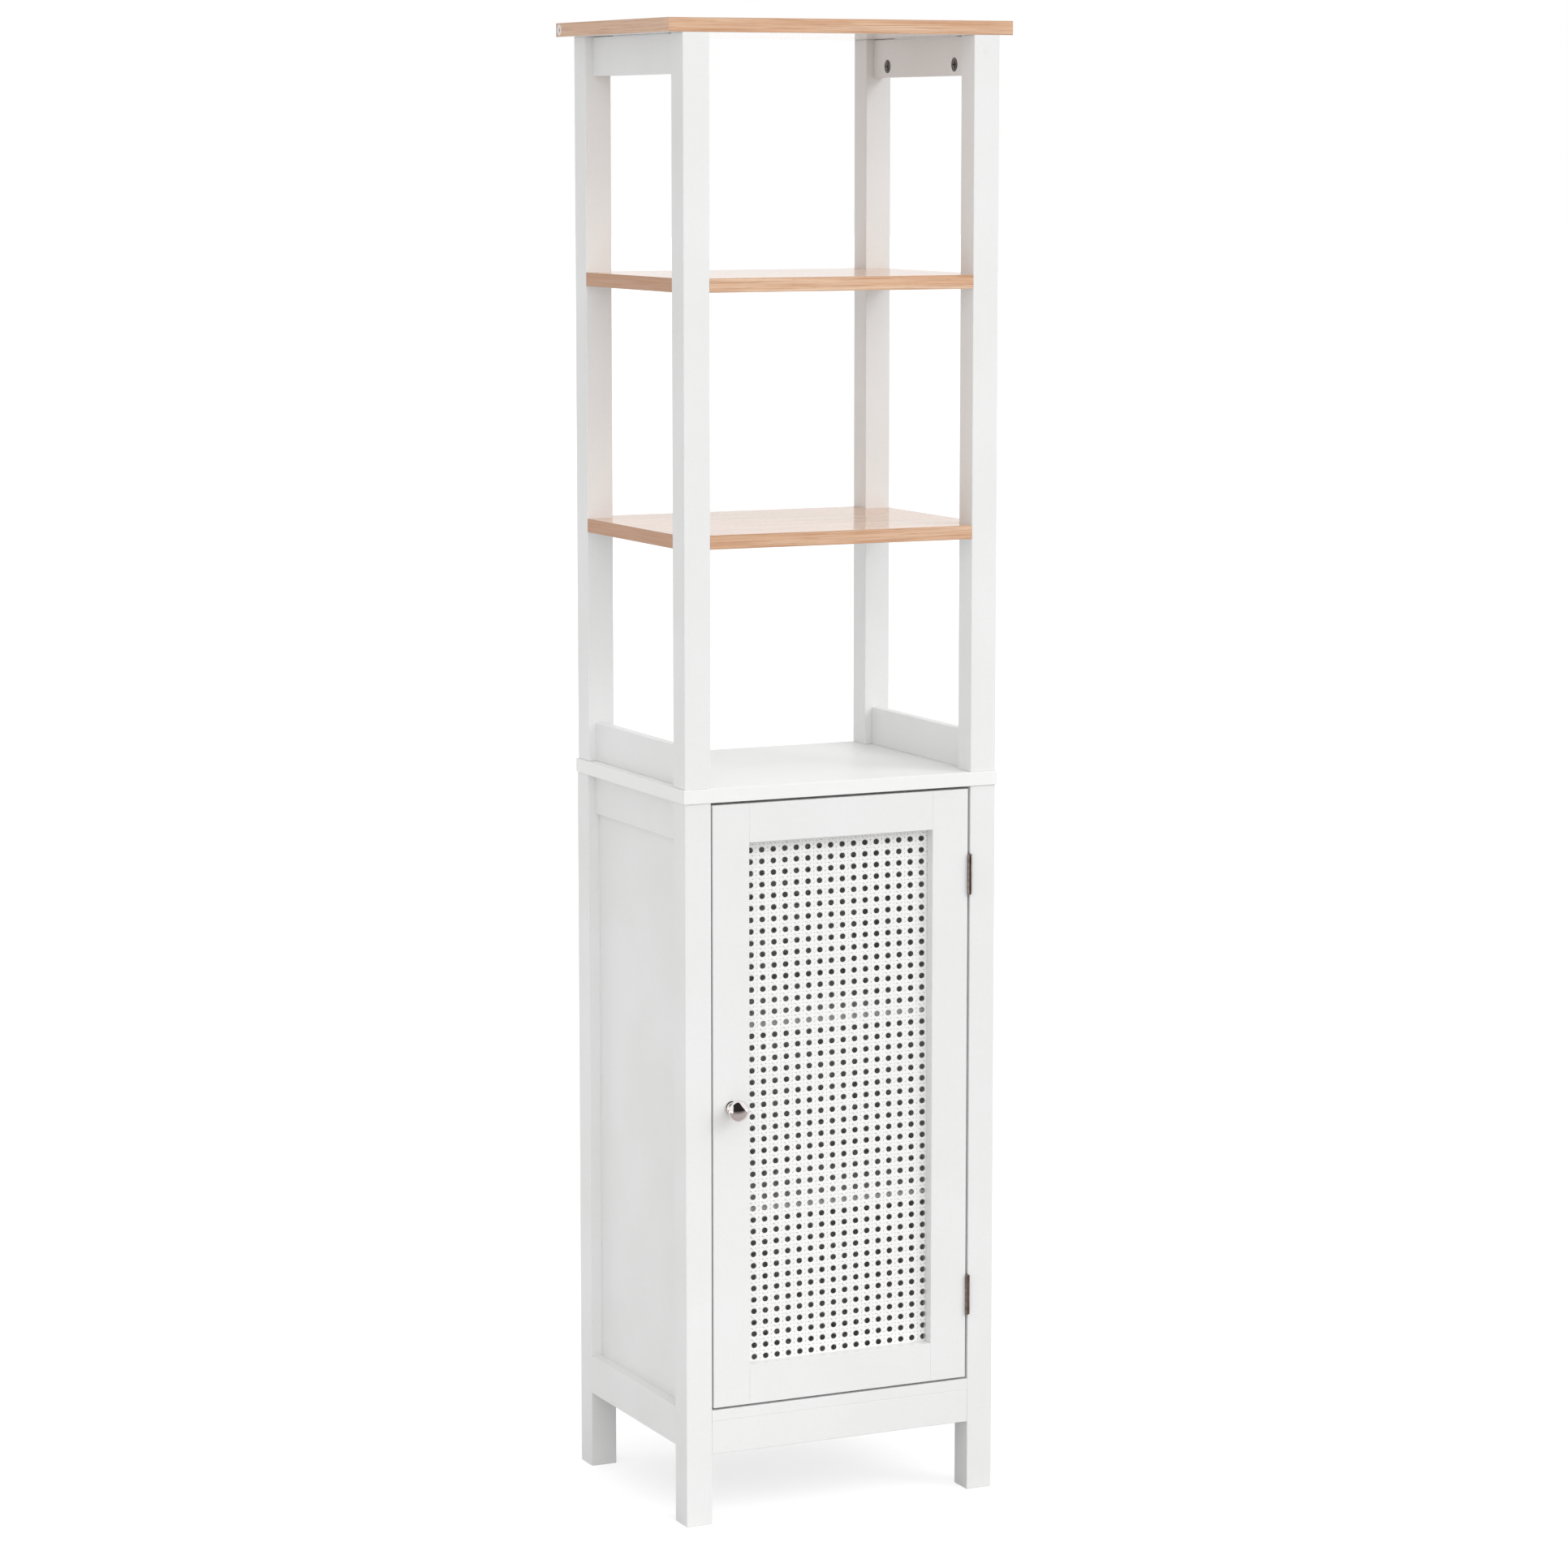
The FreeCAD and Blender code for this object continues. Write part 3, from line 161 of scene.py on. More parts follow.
# %% [markdown]
# ## Satin white paint
# The posts, legs, rails and the door are wood and fibreboard sprayed with satin white.
# Sprayed paint is never quite flat: it keeps a fine ripple about a millimetre long, like
# the skin of an orange, and its sheen changes a little over a hand's width.  The
# ripple is height, the slow change is roughness, and a trace of cream is colour.

# %% Paint for the frame and the door
CLOUD_SCALE = 9.0       # slow clouds, each about a hand wide
SPECK_SCALE = 260.0     # specks of about 4 mm
RIPPLE_SCALE = 750.0    # the ripple, a little over a millimetre long
SPECK_SHARE = 0.35      # how much of the tint is specks, and the rest is clouds


def satin_paint(name, light, shade, sheen, ripple):
    """White paint: two near whites in slow clouds, a fine ripple and an uneven sheen."""
    paint = Finish(name)
    clouds = paint.noise(paint.place, CLOUD_SCALE, detail=3.0)
    specks = paint.noise(paint.place, SPECK_SCALE, detail=2.0)
    tint = paint.math("MULTIPLY_ADD", specks, SPECK_SHARE,
                      paint.math("MULTIPLY", clouds, 1 - SPECK_SHARE))
    paint.feed(paint.shader.inputs["Base Color"],
               paint.blend(paint.between(tint, 0.0, 1.0, 0.38, 0.62), light, shade))
    paint.feed(paint.shader.inputs["Roughness"], paint.between(clouds, *sheen))
    skin = paint.noise(paint.place, RIPPLE_SCALE, detail=1.0)
    paint.relief(skin, ripple, 0.6)
    return paint.material


white_paint = satin_paint("satin_white_paint", colour(240, 240, 240), colour(237, 237, 236),
                          (0.34, 0.46), 0.00003)
white_foil = satin_paint("satin_white_foil", colour(247, 247, 246), colour(245, 245, 244),
                         (0.34, 0.42), 0.000004)
# The inside's foil is a whiter copy of the deck's: painted light, standing in for light
# bounced about inside the cupboard behind the cane.
lightened_inner_foil = satin_paint("inner_foil_painted_lighter", colour(252, 252, 251), colour(250, 250, 249),
                         (0.30, 0.40), 0.000006)

# %% [markdown]
# ## Printed oak
# The top and the two rack shelves are chipboard under a printed oak foil.  Oak grain is
# long streaks of pale and darker brown, thin dark pores, and here and there a wider
# band.  On the broad face and on the front and back edges the streaks run from side to
# side, and on the two end edges they run from front to back, because the edge band
# is a tape of the same print.  The underside is white, set whiter than its own colour as
# painted light for the floor's bounce.
# Each board has a material from one function, which looks at which way a face points
# to choose the direction of the streaks and to leave the underside white.  It is told
# the board's place, to find the glue lines, and how much darker the end edges are,
# because the tape on the two shelves' ends is darker than on the top board's.

# %% Oak foil with its edge bands
OAK_PALE = colour(237, 205, 177)
OAK_MID = colour(223, 180, 146)
OAK_DARK = colour(181, 126, 87)
OAK_PORE = colour(152, 102, 70)
# A darker, greyer brown laid on a narrow strip at the back of each end edge.
BACK_STRIP_BROWN = colour(128, 108, 98)
# The underside's white, a little whiter than its own colour: partly painted light.
WHITE_UNDERSIDE = colour(249, 248, 247)
BAND_GRAIN = (3.0, 70.0, 110.0)         # noise in a metre: along the grain, across, up
STREAK_GRAIN = (11.0, 760.0, 760.0)
PORE_GRAIN = (55.0, 2300.0, 2300.0)
DRIFT_GRAIN = (1.5, 9.0, 9.0)
STREAK_AMOUNT = 0.70    # how far each of these darkens the wood where it is strongest
PORE_AMOUNT = 0.55
DRIFT_AMOUNT = 0.22
SEAM_AMOUNT = 0.40
BACK_STRIP_AMOUNT = 0.45
EDGE_SHEEN = (0.42, 0.32)       # roughness of the edge bands, on dark streaks and between
TOP_SHEEN = (0.13, 0.09)        # and of the broad face, which is glossier
END_FACING = 0.7        # an end edge faces left or right by more than this
BROAD_FACING = 0.5      # a broad face points up or down by more than this
FOIL_LINE = 0.0004      # half the glue line at the band's upper and lower edge
BACK_STRIP_WIDE = 0.0030      # the last 3 mm at the back of each end edge is darkened


def oak_foil(name, board, end_shade):
    """Streaks = noise pressed flat along the grain; pores = a finer one cut at a level;
    the two end edges are darker by end_shade."""
    low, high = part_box(board)
    oak = Finish(name)
    across = oak.add("ShaderNodeSeparateXYZ", {"Vector": oak.place})
    facing = oak.add("ShaderNodeSeparateXYZ",
                     {"Vector": oak.add("ShaderNodeTexCoord").outputs["Normal"]})
    x, y, z = across.outputs
    end_face = oak.math("GREATER_THAN", oak.math("ABSOLUTE", facing.outputs[0]), END_FACING)
    turned = oak.add("ShaderNodeCombineXYZ", {"X": y, "Y": x, "Z": z}).outputs[0]
    grain = oak.add("ShaderNodeMix", data_type="VECTOR")
    for key, value in (("Factor_Float", end_face), ("A_Vector", oak.place),
                       ("B_Vector", turned)):
        oak.feed(next(s for s in grain.inputs if s.identifier == key), value)
    along = next(s for s in grain.outputs if s.identifier == "Result_Vector")

    bands = oak.noise(oak.stretched(BAND_GRAIN, along), 1.0, 3.0, 0.55, 0.6)
    streaks = oak.noise(oak.stretched(STREAK_GRAIN, along), 1.0, 3.0, 0.6, 0.3)
    pores = oak.noise(oak.stretched(PORE_GRAIN, along), 1.0, 2.0, 0.5)
    drift = oak.noise(oak.stretched(DRIFT_GRAIN, along), 1.0, 2.0)

    wood = oak.blend(oak.between(bands, 0.0, 1.0, 0.36, 0.64), OAK_MID, OAK_PALE)
    wood = oak.blend(oak.between(streaks, STREAK_AMOUNT, 0.0, 0.34, 0.54), wood, OAK_DARK)
    wood = oak.blend(oak.between(pores, PORE_AMOUNT, 0.0, 0.26, 0.36), wood, OAK_PORE)
    wood = oak.blend(oak.between(drift, 0.0, DRIFT_AMOUNT, 0.4, 0.6), wood, OAK_DARK)
    wood = oak.blend(oak.math("MULTIPLY", end_face, end_shade), wood, OAK_DARK)

    below = oak.math("LESS_THAN", facing.outputs[2], -BROAD_FACING)
    from_middle = oak.math("ABSOLUTE", oak.math("SUBTRACT", z, (low.z + high.z) / 2))
    glue = oak.math("GREATER_THAN", from_middle, (high.z - low.z) / 2 - 2 * FOIL_LINE)
    on_side = oak.math("LESS_THAN", oak.math("ABSOLUTE", facing.outputs[2]), BROAD_FACING)
    seam = oak.math("MULTIPLY", oak.math("MULTIPLY", glue, on_side), SEAM_AMOUNT)
    wood = oak.blend(seam, wood, OAK_PORE)
    # The end edges are darkened and greyed in a narrow strip at the back.
    back_strip = oak.math("MULTIPLY", end_face, oak.math("GREATER_THAN", y, high.y - BACK_STRIP_WIDE))
    wood = oak.blend(oak.math("MULTIPLY", back_strip, BACK_STRIP_AMOUNT), wood, BACK_STRIP_BROWN)
    oak.feed(oak.shader.inputs["Base Color"], oak.blend(below, wood, WHITE_UNDERSIDE))
    on_edge = oak.between(streaks, *EDGE_SHEEN)
    on_top = oak.between(streaks, *TOP_SHEEN)
    oak.feed(oak.shader.inputs["Roughness"], oak.math(
        "ADD", oak.math("MULTIPLY", on_side, on_edge),
        oak.math("MULTIPLY", oak.math("SUBTRACT", 1.0, on_side), on_top)))
    height = oak.math("MULTIPLY", oak.between(pores, 0.0, 1.0, 0.26, 0.4),
                      oak.math("SUBTRACT", 1.0, below))
    oak.relief(height, 0.00005, 0.5)
    return oak.material


# Each board, and how much darker its two end edges are.
OAK_BOARDS = {"top_board": 0.0, "rack_shelf_upper": 0.75, "rack_shelf_lower": 0.75}
oak_finishes = {board: oak_foil(f"oak_foil_{board}", board, end_shade)
                for board, end_shade in OAK_BOARDS.items()}
print("oak on", ", ".join(OAK_BOARDS))

# %% [markdown]
# ## Metals
# The knob is nickel plated and polished, which is a mirror with a warm grey tint.  A
# real one carries a faint film that dulls it in patches.  The hinges are given a
# darker brown metal, a little duller.  The cam fittings, screws and
# shelf pins are zinc: the same kind of shader, but grey, rough and slightly pitted.
# The catch's magnet is ferrite, which is dark, matt and hardly a metal to look at.

# %% Nickel, zinc and ferrite
FILM_SCALE = 140.0      # patches of film about 7 mm wide
FERRITE_METALLIC = 0.2


def plated_metal(name, pale, dull, gloss, pit_scale, pit_depth):
    """Metal: two greys in small clouds, uneven gloss, and pits or hairlines as height."""
    metal = Finish(name)
    film = metal.noise(metal.place, FILM_SCALE, 3.0)
    pits = metal.noise(metal.place, pit_scale, 2.0, 0.6)
    metal.shader.inputs["Metallic"].default_value = 1.0
    metal.feed(metal.shader.inputs["Base Color"],
               metal.blend(metal.between(film, 0.0, 1.0, 0.35, 0.65), pale, dull))
    metal.feed(metal.shader.inputs["Roughness"], metal.between(film, *gloss))
    metal.relief(pits, pit_depth, 0.5)
    return metal.material


nickel = plated_metal("polished_nickel", colour(242, 238, 235), colour(234, 229, 226),
                      (0.04, 0.08), 900.0, 0.000002)
hinge_nickel = plated_metal("hinge_nickel", colour(158, 143, 136), colour(122, 108, 101),
                            (0.10, 0.20), 900.0, 0.000002)
zinc = plated_metal("zinc_plate", colour(170, 168, 164), colour(140, 138, 134),
                    (0.28, 0.45), 1600.0, 0.00004)
dark_zinc = plated_metal("dark_zinc", colour(98, 90, 87), colour(60, 55, 53),
                         (0.30, 0.42), 1300.0, 0.00005)
ferrite = plated_metal("ferrite", colour(52, 51, 50), colour(38, 37, 36),
                       (0.5, 0.7), 2200.0, 0.00006)
ferrite.node_tree.nodes["Principled BSDF"].inputs["Metallic"].default_value = FERRITE_METALLIC

# %% [markdown]
# ## Beech and moulded plastic
# The dowels are hidden, but they have their own wood all the same.  The catch's
# case is matt moulded plastic with the fine spark-eroded grain of its mould.

# %% Finishes for the small hidden pieces
FLECK_GRAIN = (260.0, 90.0, 260.0)      # flecks in a metre, longest from front to back
MOULD_CELLS = 1500.0                    # cells of the mould's grain in a metre


def beech():
    """Turned beech: fine flecks, longer from front to back, on a pale tan."""
    wood = Finish("beech_dowel")
    flecks = wood.noise(wood.stretched(FLECK_GRAIN), 1.0, 3.0)
    wood.feed(wood.shader.inputs["Base Color"],
              wood.blend(wood.between(flecks, 0.0, 1.0), colour(226, 198, 160),
                         colour(198, 162, 118)))
    wood.feed(wood.shader.inputs["Roughness"], wood.between(flecks, 0.5, 0.65))
    wood.relief(flecks, 0.00008, 0.6)
    return wood.material


def moulded(name, pale, dull):
    """Plastic from a grained mould: tiny cells as height, a slow change of gloss."""
    plastic = Finish(name)
    cells = plastic.add("ShaderNodeTexVoronoi",
                        {"Vector": plastic.place, "Scale": MOULD_CELLS})
    clouds = plastic.noise(plastic.place, 60.0, 2.0)
    plastic.feed(plastic.shader.inputs["Base Color"],
                 plastic.blend(plastic.between(clouds, 0.0, 1.0), pale, dull))
    plastic.feed(plastic.shader.inputs["Roughness"], plastic.between(clouds, 0.42, 0.58))
    plastic.relief(cells.outputs["Distance"], 0.00003, 0.5)
    return plastic.material


beech_wood = beech()
white_plastic = moulded("white_plastic", colour(239, 239, 238), colour(236, 236, 235))

# %% [markdown]
# ## Finish every solid
# Each solid keeps its own shape and gets the finish that its piece has on the cabinet.
# A table of names is enough; whatever isn't named in it is painted.

# %% Hand the finishes out
finishes = dict(oak_finishes)
finishes["deck_board"] = white_foil
# The inside's boards take the whiter foil, painted lighter for the light inside.
for name in ("inner_shelf_lower", "inner_shelf_upper", "back_panel"):
    finishes[name] = lightened_inner_foil
for name in nodes:
    if name.startswith("hinge_"):
        finishes[name] = hinge_nickel
    elif name == "door_knob":
        finishes[name] = nickel
    elif name.endswith("_dowels"):
        finishes[name] = beech_wood
finishes["cam_nuts"] = dark_zinc
for name in ("cam_bolts", "shelf_pins", "knob_screw", "strike_screw",
             "catch_screws", "catch_strike_plate"):
    finishes[name] = zinc
finishes["catch_magnet"] = ferrite
finishes["catch_housing"] = white_plastic
finishes["post_hole_plug"] = white_plastic
finishes["edge_cap"] = white_plastic
for name, solid in nodes.items():
    solid.data.materials.clear()
    solid.data.materials.append(finishes.get(name, white_paint))
print("painted:", sorted(set(nodes) - set(finishes)))

# %% [markdown]
# ## Surfaces from grids of points
# New pieces are woven or turned, and both are one idea: rings of points, carried along a
# line and joined to the next ring with four-sided faces.  The helper takes many such
# bands at once as one array, so a whole set of strands becomes a single mesh without
# visiting its points one by one.

# %% Bands of rings into one mesh
def bands_to_mesh(name, rings, finish, tones=None):
    """rings[band, station, around] are points.  Each ring is joined to the next one
    along its band, and the first and last ring are closed with a flat face.  The UV
    map's U is the distance run along the band in metres, and V goes once around."""
    bands, stations, around = rings.shape[:3]
    index = np.arange(bands * stations * around).reshape(bands, stations, around)
    after = np.roll(index, -1, axis=2)
    quads = np.stack([index[:, :-1], after[:, :-1], after[:, 1:], index[:, 1:]], axis=-1)
    quads = quads.reshape(-1, 4)
    caps = np.concatenate([index[:, 0, ::-1], index[:, -1]])

    mesh = bpy.data.meshes.new(name)
    mesh.vertices.add(rings.size // 3)
    mesh.vertices.foreach_set("co", rings.reshape(-1).astype(np.float32))
    corners = np.concatenate([quads.ravel(), caps.ravel()])
    starts = np.concatenate([np.arange(len(quads)) * 4,
                             len(quads) * 4 + np.arange(len(caps)) * around])
    mesh.loops.add(len(corners))
    mesh.loops.foreach_set("vertex_index", corners.astype(np.int32))
    mesh.polygons.add(len(starts))
    mesh.polygons.foreach_set("loop_start", starts.astype(np.int32))
    mesh.update(calc_edges=True)

    steps = np.linalg.norm(np.diff(rings.mean(axis=2), axis=1), axis=-1)
    run = np.concatenate([np.zeros((bands, 1)), np.cumsum(steps, axis=1)], axis=1)
    u = np.broadcast_to(run[..., None], (bands, stations, around))
    v = np.broadcast_to(np.arange(around) / around, (bands, stations, around))
    v_after = v + 1 / around
    quad_u = np.stack([u[:, :-1], u[:, :-1], u[:, 1:], u[:, 1:]], axis=-1).ravel()
    quad_v = np.stack([v[:, :-1], v_after[:, :-1], v_after[:, 1:], v[:, 1:]], axis=-1).ravel()
    cap_uv = np.zeros((caps.size, 2))
    layer = mesh.uv_layers.new(name="UVMap")
    layer.data.foreach_set("uv", np.concatenate(
        [np.stack([quad_u, quad_v], axis=-1), cap_uv]).ravel().astype(np.float32))

    if tones is not None:
        tone = mesh.attributes.new("strand_tone", "FLOAT", "POINT")
        tone.data.foreach_set("value", np.repeat(tones, stations * around).astype(np.float32))
    smooth = np.ones(len(starts), bool)
    smooth[len(quads):] = False
    mesh.polygons.foreach_set("use_smooth", smooth)
    mesh.materials.append(finish)
    piece = bpy.data.objects.new(name, mesh)
    bpy.context.scene.collection.objects.link(piece)
    print(name, "has", len(quads) * 2 + len(caps) * (around - 2), "triangles")
    return piece


# %% [markdown]
# ## Woven cane
# The door holds a sheet of white cane webbing in the usual six-way weave.  Strands run
# up in pairs and across in pairs, and single strands run both ways on the slant.  An
# upright pair and a cross pair interlace like plain cloth.  One set of slanted strands
# passes over every upright pair and under every cross pair, and the other set does the
# opposite, which locks the sheet and leaves an eight-sided hole in each cell.
# A pattern of holes cut in a sheet would be quicker, but it would have no strands that
# catch the light or cross each other at the edge of a hole.  So each strand is made as a
# thin ribbon, domed on the outside and flat behind, whose height above the
# sheet's middle rises and falls as it passes over and under the others.

# %% The weave's measures
CELL_WIDE = 0.013585            # from one upright pair to the next
CELL_HIGH = 0.012551            # from one cross pair to the next
FIRST_UPRIGHT = -0.10705        # x of the first upright pair, half-way up the door
FIRST_CROSS = 0.16932           # height of the lowest cross pair
UPRIGHT_PAIRS = 17
CROSS_PAIRS = 47
MIDDLE_HIGH = 0.4517            # half-way up the door, where the lean is nothing
LEAN = -0.0080                  # the sheet was fixed slightly out of square
UPRIGHT_APART = 0.00190         # from a pair's middle to each of its strands
CROSS_APART = 0.00174
UPRIGHT_WIDE = 0.00378
CROSS_WIDE = 0.00344
SLANT_WIDE = 0.00328
STRAND_THICK = 0.00018
PLAIN_RISE = 0.00004            # how far a paired strand rises or dips
SLANT_RISE = 0.00009            # how far a slanted strand rises or dips
BUMP_REACH = 1.9                # a bump's end from its top, in strand-to-middle distances
SHORTEST = 0.2                  # a slanted strand shorter than this many cells is left out

sheet_low, sheet_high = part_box("cane_panel")
SHEET_Y = (sheet_low.y + sheet_high.y) / 2
print("cane sheet", [round(v * 1000, 1) for v in sheet_high - sheet_low], "mm")

# %% [markdown]
# ### One ribbon, many times
# A ribbon needs its middle line and a height for every point of it.  Its cross-section
# is six points: two sharp sides, three points of a low dome in front, and one behind.
# The same section is laid square to the line at every station.

# %% Ribbons along lines
SECTION = np.array([[-0.5, -0.25], [-0.27, 0.32], [0.0, 0.5], [0.27, 0.32], [0.5, -0.25],
                    [0.0, -0.5]])       # across, outwards; times width and thickness


def ribbons(x, z, rise, wide):
    """x, z, rise[strand, station] give each middle line and its height towards the
    viewer.  The section's first number runs across the line and its second outwards."""
    along = np.stack([np.gradient(x, axis=1), np.gradient(z, axis=1)], axis=-1)
    along /= np.linalg.norm(along, axis=-1, keepdims=True)
    side_x = -along[..., 1, None] * SECTION[:, 0] * wide
    side_z = along[..., 0, None] * SECTION[:, 0] * wide
    out = rise[..., None] + SECTION[:, 1] * STRAND_THICK
    points_z = z[..., None] + side_z
    points_x = x[..., None] + side_x + LEAN * (points_z - MIDDLE_HIGH)
    points = np.stack([points_x, SHEET_Y - out, points_z], axis=-1)
    points[..., 0] = np.clip(points[..., 0], sheet_low.x, sheet_high.x)
    points[..., 2] = np.clip(points[..., 2], sheet_low.z, sheet_high.z)
    return points


def bump(distance, reach):
    """1 at no distance, falling as half a cosine wave to 0 at reach and beyond."""
    near = np.clip(np.abs(distance) / reach, 0.0, 1.0)
    return 0.5 + 0.5 * np.cos(np.pi * near)


def paired_rise(place, first, cell, apart, sign):
    """Over one strand of a crossed pair and under the other: one bump up and one down,
    at the two strands' places in every cell."""
    phase = (place - first + cell / 2) % cell - cell / 2
    reach = apart * BUMP_REACH
    return sign * PLAIN_RISE * (bump(phase + apart, reach) - bump(phase - apart, reach))


# %% [markdown]
# ### Pairs up and across
# Each pair is two strands side by side.  One passes over the first strand that it meets
# in a cell and under the second, and its neighbour does the opposite, as in plain cloth.
# The cross strands that would miss the sheet are left out before they are made.

# %% Upright and cross pairs
STEPS = 8       # stations in one cell of the weave
random = np.random.default_rng(7)


def paired_strands(count, first, cell, apart, low, high, step):
    """Places of 2 * count strands, and stations from low to high along each."""
    pairs = first + cell * np.arange(count)
    places = np.stack([pairs - apart, pairs + apart], axis=1).ravel()
    stations = np.linspace(low, high, int(round((high - low) / step)) + 1)
    return np.meshgrid(places, stations, indexing="ij")


upright_x, upright_z = paired_strands(
    UPRIGHT_PAIRS, FIRST_UPRIGHT, CELL_WIDE, UPRIGHT_APART,
    sheet_low.z, sheet_high.z, CELL_HIGH / STEPS)
turns = np.where(np.arange(len(upright_x)) % 2, 1.0, -1.0)[:, None]
upright_rise = paired_rise(upright_z, FIRST_CROSS, CELL_HIGH, CROSS_APART, turns)

cross_z, cross_x = paired_strands(
    CROSS_PAIRS, FIRST_CROSS, CELL_HIGH, CROSS_APART,
    sheet_low.x, sheet_high.x, CELL_WIDE / STEPS)
inside = (cross_z[:, 0] > sheet_low.z) & (cross_z[:, 0] < sheet_high.z)
cross_z, cross_x = cross_z[inside], cross_x[inside]
turns = np.where(np.arange(len(inside))[inside] % 2, -1.0, 1.0)[:, None]
lean_x = cross_x - LEAN * (cross_z - MIDDLE_HIGH)
cross_rise = paired_rise(lean_x, FIRST_UPRIGHT, CELL_WIDE, UPRIGHT_APART, turns)
print(len(upright_x), "upright and", len(cross_x), "cross strands")


# %% [markdown]
# ### Slanted strands
# A slanted strand climbs one cell for each cell across.  It meets an upright pair and
# a cross pair in turn, half a cell apart, so its height is a plain cosine of the way
# across, with one whole wave for each cell.

# %% Slanted strands both ways
def slanted(direction):
    """With s cells across from the first upright pair and t cells up from the lowest
    cross pair, a middle line is s - direction * t = a half number, cut off at the
    sheet's edges; start and stop are its lowest and highest t."""
    columns = UPRIGHT_PAIRS + 1
    rows = CROSS_PAIRS + 1
    numbers = (np.arange(-rows, columns) if direction > 0
               else np.arange(0, columns + rows)) + 0.5
    t_low = (sheet_low.z - FIRST_CROSS) / CELL_HIGH
    t_high = (sheet_high.z - FIRST_CROSS) / CELL_HIGH
    s_low = (sheet_low.x - FIRST_UPRIGHT) / CELL_WIDE - 0.5
    s_high = (sheet_high.x - FIRST_UPRIGHT) / CELL_WIDE + 0.5
    ends = (np.array([[s_low, s_high]]) - numbers[:, None]) / direction
    start = np.maximum(ends.min(axis=1), t_low)
    stop = np.minimum(ends.max(axis=1), t_high)
    keep = stop - start > SHORTEST
    return numbers[keep], start[keep], stop[keep]


def slanted_piece(name, direction, finish):
    """Strands of one slant, all with as many stations as the longest one needs."""
    numbers, start, stop = slanted(direction)
    stations = int((stop - start).max() * STEPS) + 1
    share = np.linspace(0.0, 1.0, stations)
    t = start[:, None] + (stop - start)[:, None] * share
    s = numbers[:, None] + direction * t
    x = FIRST_UPRIGHT + CELL_WIDE * s
    z = FIRST_CROSS + CELL_HIGH * t
    rise = direction * SLANT_RISE * np.cos(2 * np.pi * s)
    return bands_to_mesh(name, ribbons(x, z, rise, SLANT_WIDE), finish,
                         random.uniform(size=len(x)))


# %% [markdown]
# ### White cane's finish
# The strands are dyed or moulded white.  Each has fine lines along it where the
# fibres run, and no two are quite the same white.  The lines are read from the UV map,
# which follows each strand through the weave, and the tone is stored on the strand.

# %% Cane finish
FIBRE_GRAIN = (180.0, 26.0, 1.0)    # fibres along the strand's length and around it
TONE_SHARE = 0.45       # how much of the colour is the strand's own tone


def cane_white():
    """Lines = noise pressed flat along U; tone = the strand's own number."""
    cane = Finish("white_cane")
    follow = cane.add("ShaderNodeUVMap", uv_map="UVMap").outputs[0]
    fibres = cane.noise(cane.stretched(FIBRE_GRAIN, follow), 1.0, 3.0, 0.6)
    tone = cane.add("ShaderNodeAttribute", attribute_name="strand_tone").outputs["Fac"]
    mix = cane.math("MULTIPLY_ADD", tone, TONE_SHARE,
                    cane.math("MULTIPLY", fibres, 1 - TONE_SHARE))
    cane.feed(cane.shader.inputs["Base Color"],
              cane.blend(cane.between(mix, 0.0, 1.0, 0.15, 0.85), colour(252, 252, 250),
                         colour(245, 245, 243)))
    cane.feed(cane.shader.inputs["Roughness"], cane.between(fibres, 0.32, 0.48))
    cane.relief(fibres, 0.00002, 0.4)
    return cane.material


cane_finish = cane_white()
upright_piece = bands_to_mesh(
    "cane_upright_strands", ribbons(upright_x, upright_z, upright_rise, UPRIGHT_WIDE),
    cane_finish, random.uniform(size=len(upright_x)))
cross_piece = bands_to_mesh(
    "cane_cross_strands", ribbons(lean_x, cross_z, cross_rise, CROSS_WIDE),
    cane_finish, random.uniform(size=len(cross_x)))
rising_piece = slanted_piece("cane_rising_strands", 1.0, cane_finish)
falling_piece = slanted_piece("cane_falling_strands", -1.0, cane_finish)
for piece in (upright_piece, cross_piece, rising_piece, falling_piece):
    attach(piece, "door")
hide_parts("cane_panel")

# %% [markdown]
# ## The knob
# The knob was turned and polished: a disc on the door, a waist, a flare and a low dome.
# A turned piece is a profile carried round its axis.  The profile is a smooth line
# through a few measured points, with small radii where the tool left them, because a
# mirror finish shows every corner as a bright line.

# %% Turned pieces
AROUND = 64             # sides of a turned piece
HALF_WAY = 2.02         # a curve stops just short of half the way to the next corner


def smooth_profile(corners, per_corner=6):
    """A line through corners (radius, distance, cut), with each one cut off by a
    quadratic curve that starts and ends the cut's length away from the corner."""
    points = np.array([corner[:2] for corner in corners])
    radii = [corner[2] for corner in corners[1:-1]]
    line = [points[:1]]
    for before, here, after, radius in zip(points, points[1:], points[2:], radii):
        to_before = before - here
        to_after = after - here
        length = min(radius, np.linalg.norm(to_before) / HALF_WAY,
                     np.linalg.norm(to_after) / HALF_WAY)
        start = here + to_before / np.linalg.norm(to_before) * length
        end = here + to_after / np.linalg.norm(to_after) * length
        t = np.linspace(0.0, 1.0, per_corner)[:, None]
        line.append((1 - t) ** 2 * start + 2 * t * (1 - t) * here + t ** 2 * end)
    line.append(points[-1:])
    return np.concatenate(line)


def turned(profile, centre, axis, up):
    """profile[station] = (radius, distance along axis) carried once round the axis:
    a ring for each station, in the two directions square to the axis."""
    angle = np.linspace(0.0, 2 * np.pi, AROUND, endpoint=False)
    axis, up = np.array(axis, float), np.array(up, float)
    side = np.cross(axis, up)
    ring = np.cos(angle)[:, None] * up + np.sin(angle)[:, None] * side
    points = (np.array(centre) + profile[:, 1, None, None] * axis
              + profile[:, 0, None, None] * ring)
    return points[None]


# %% [markdown]
# ### The knob's profile
# The profile starts at the door and ends at the middle of the face.  A line of corners
# gives the disc, the waist and the flare, and an arc gives the face.

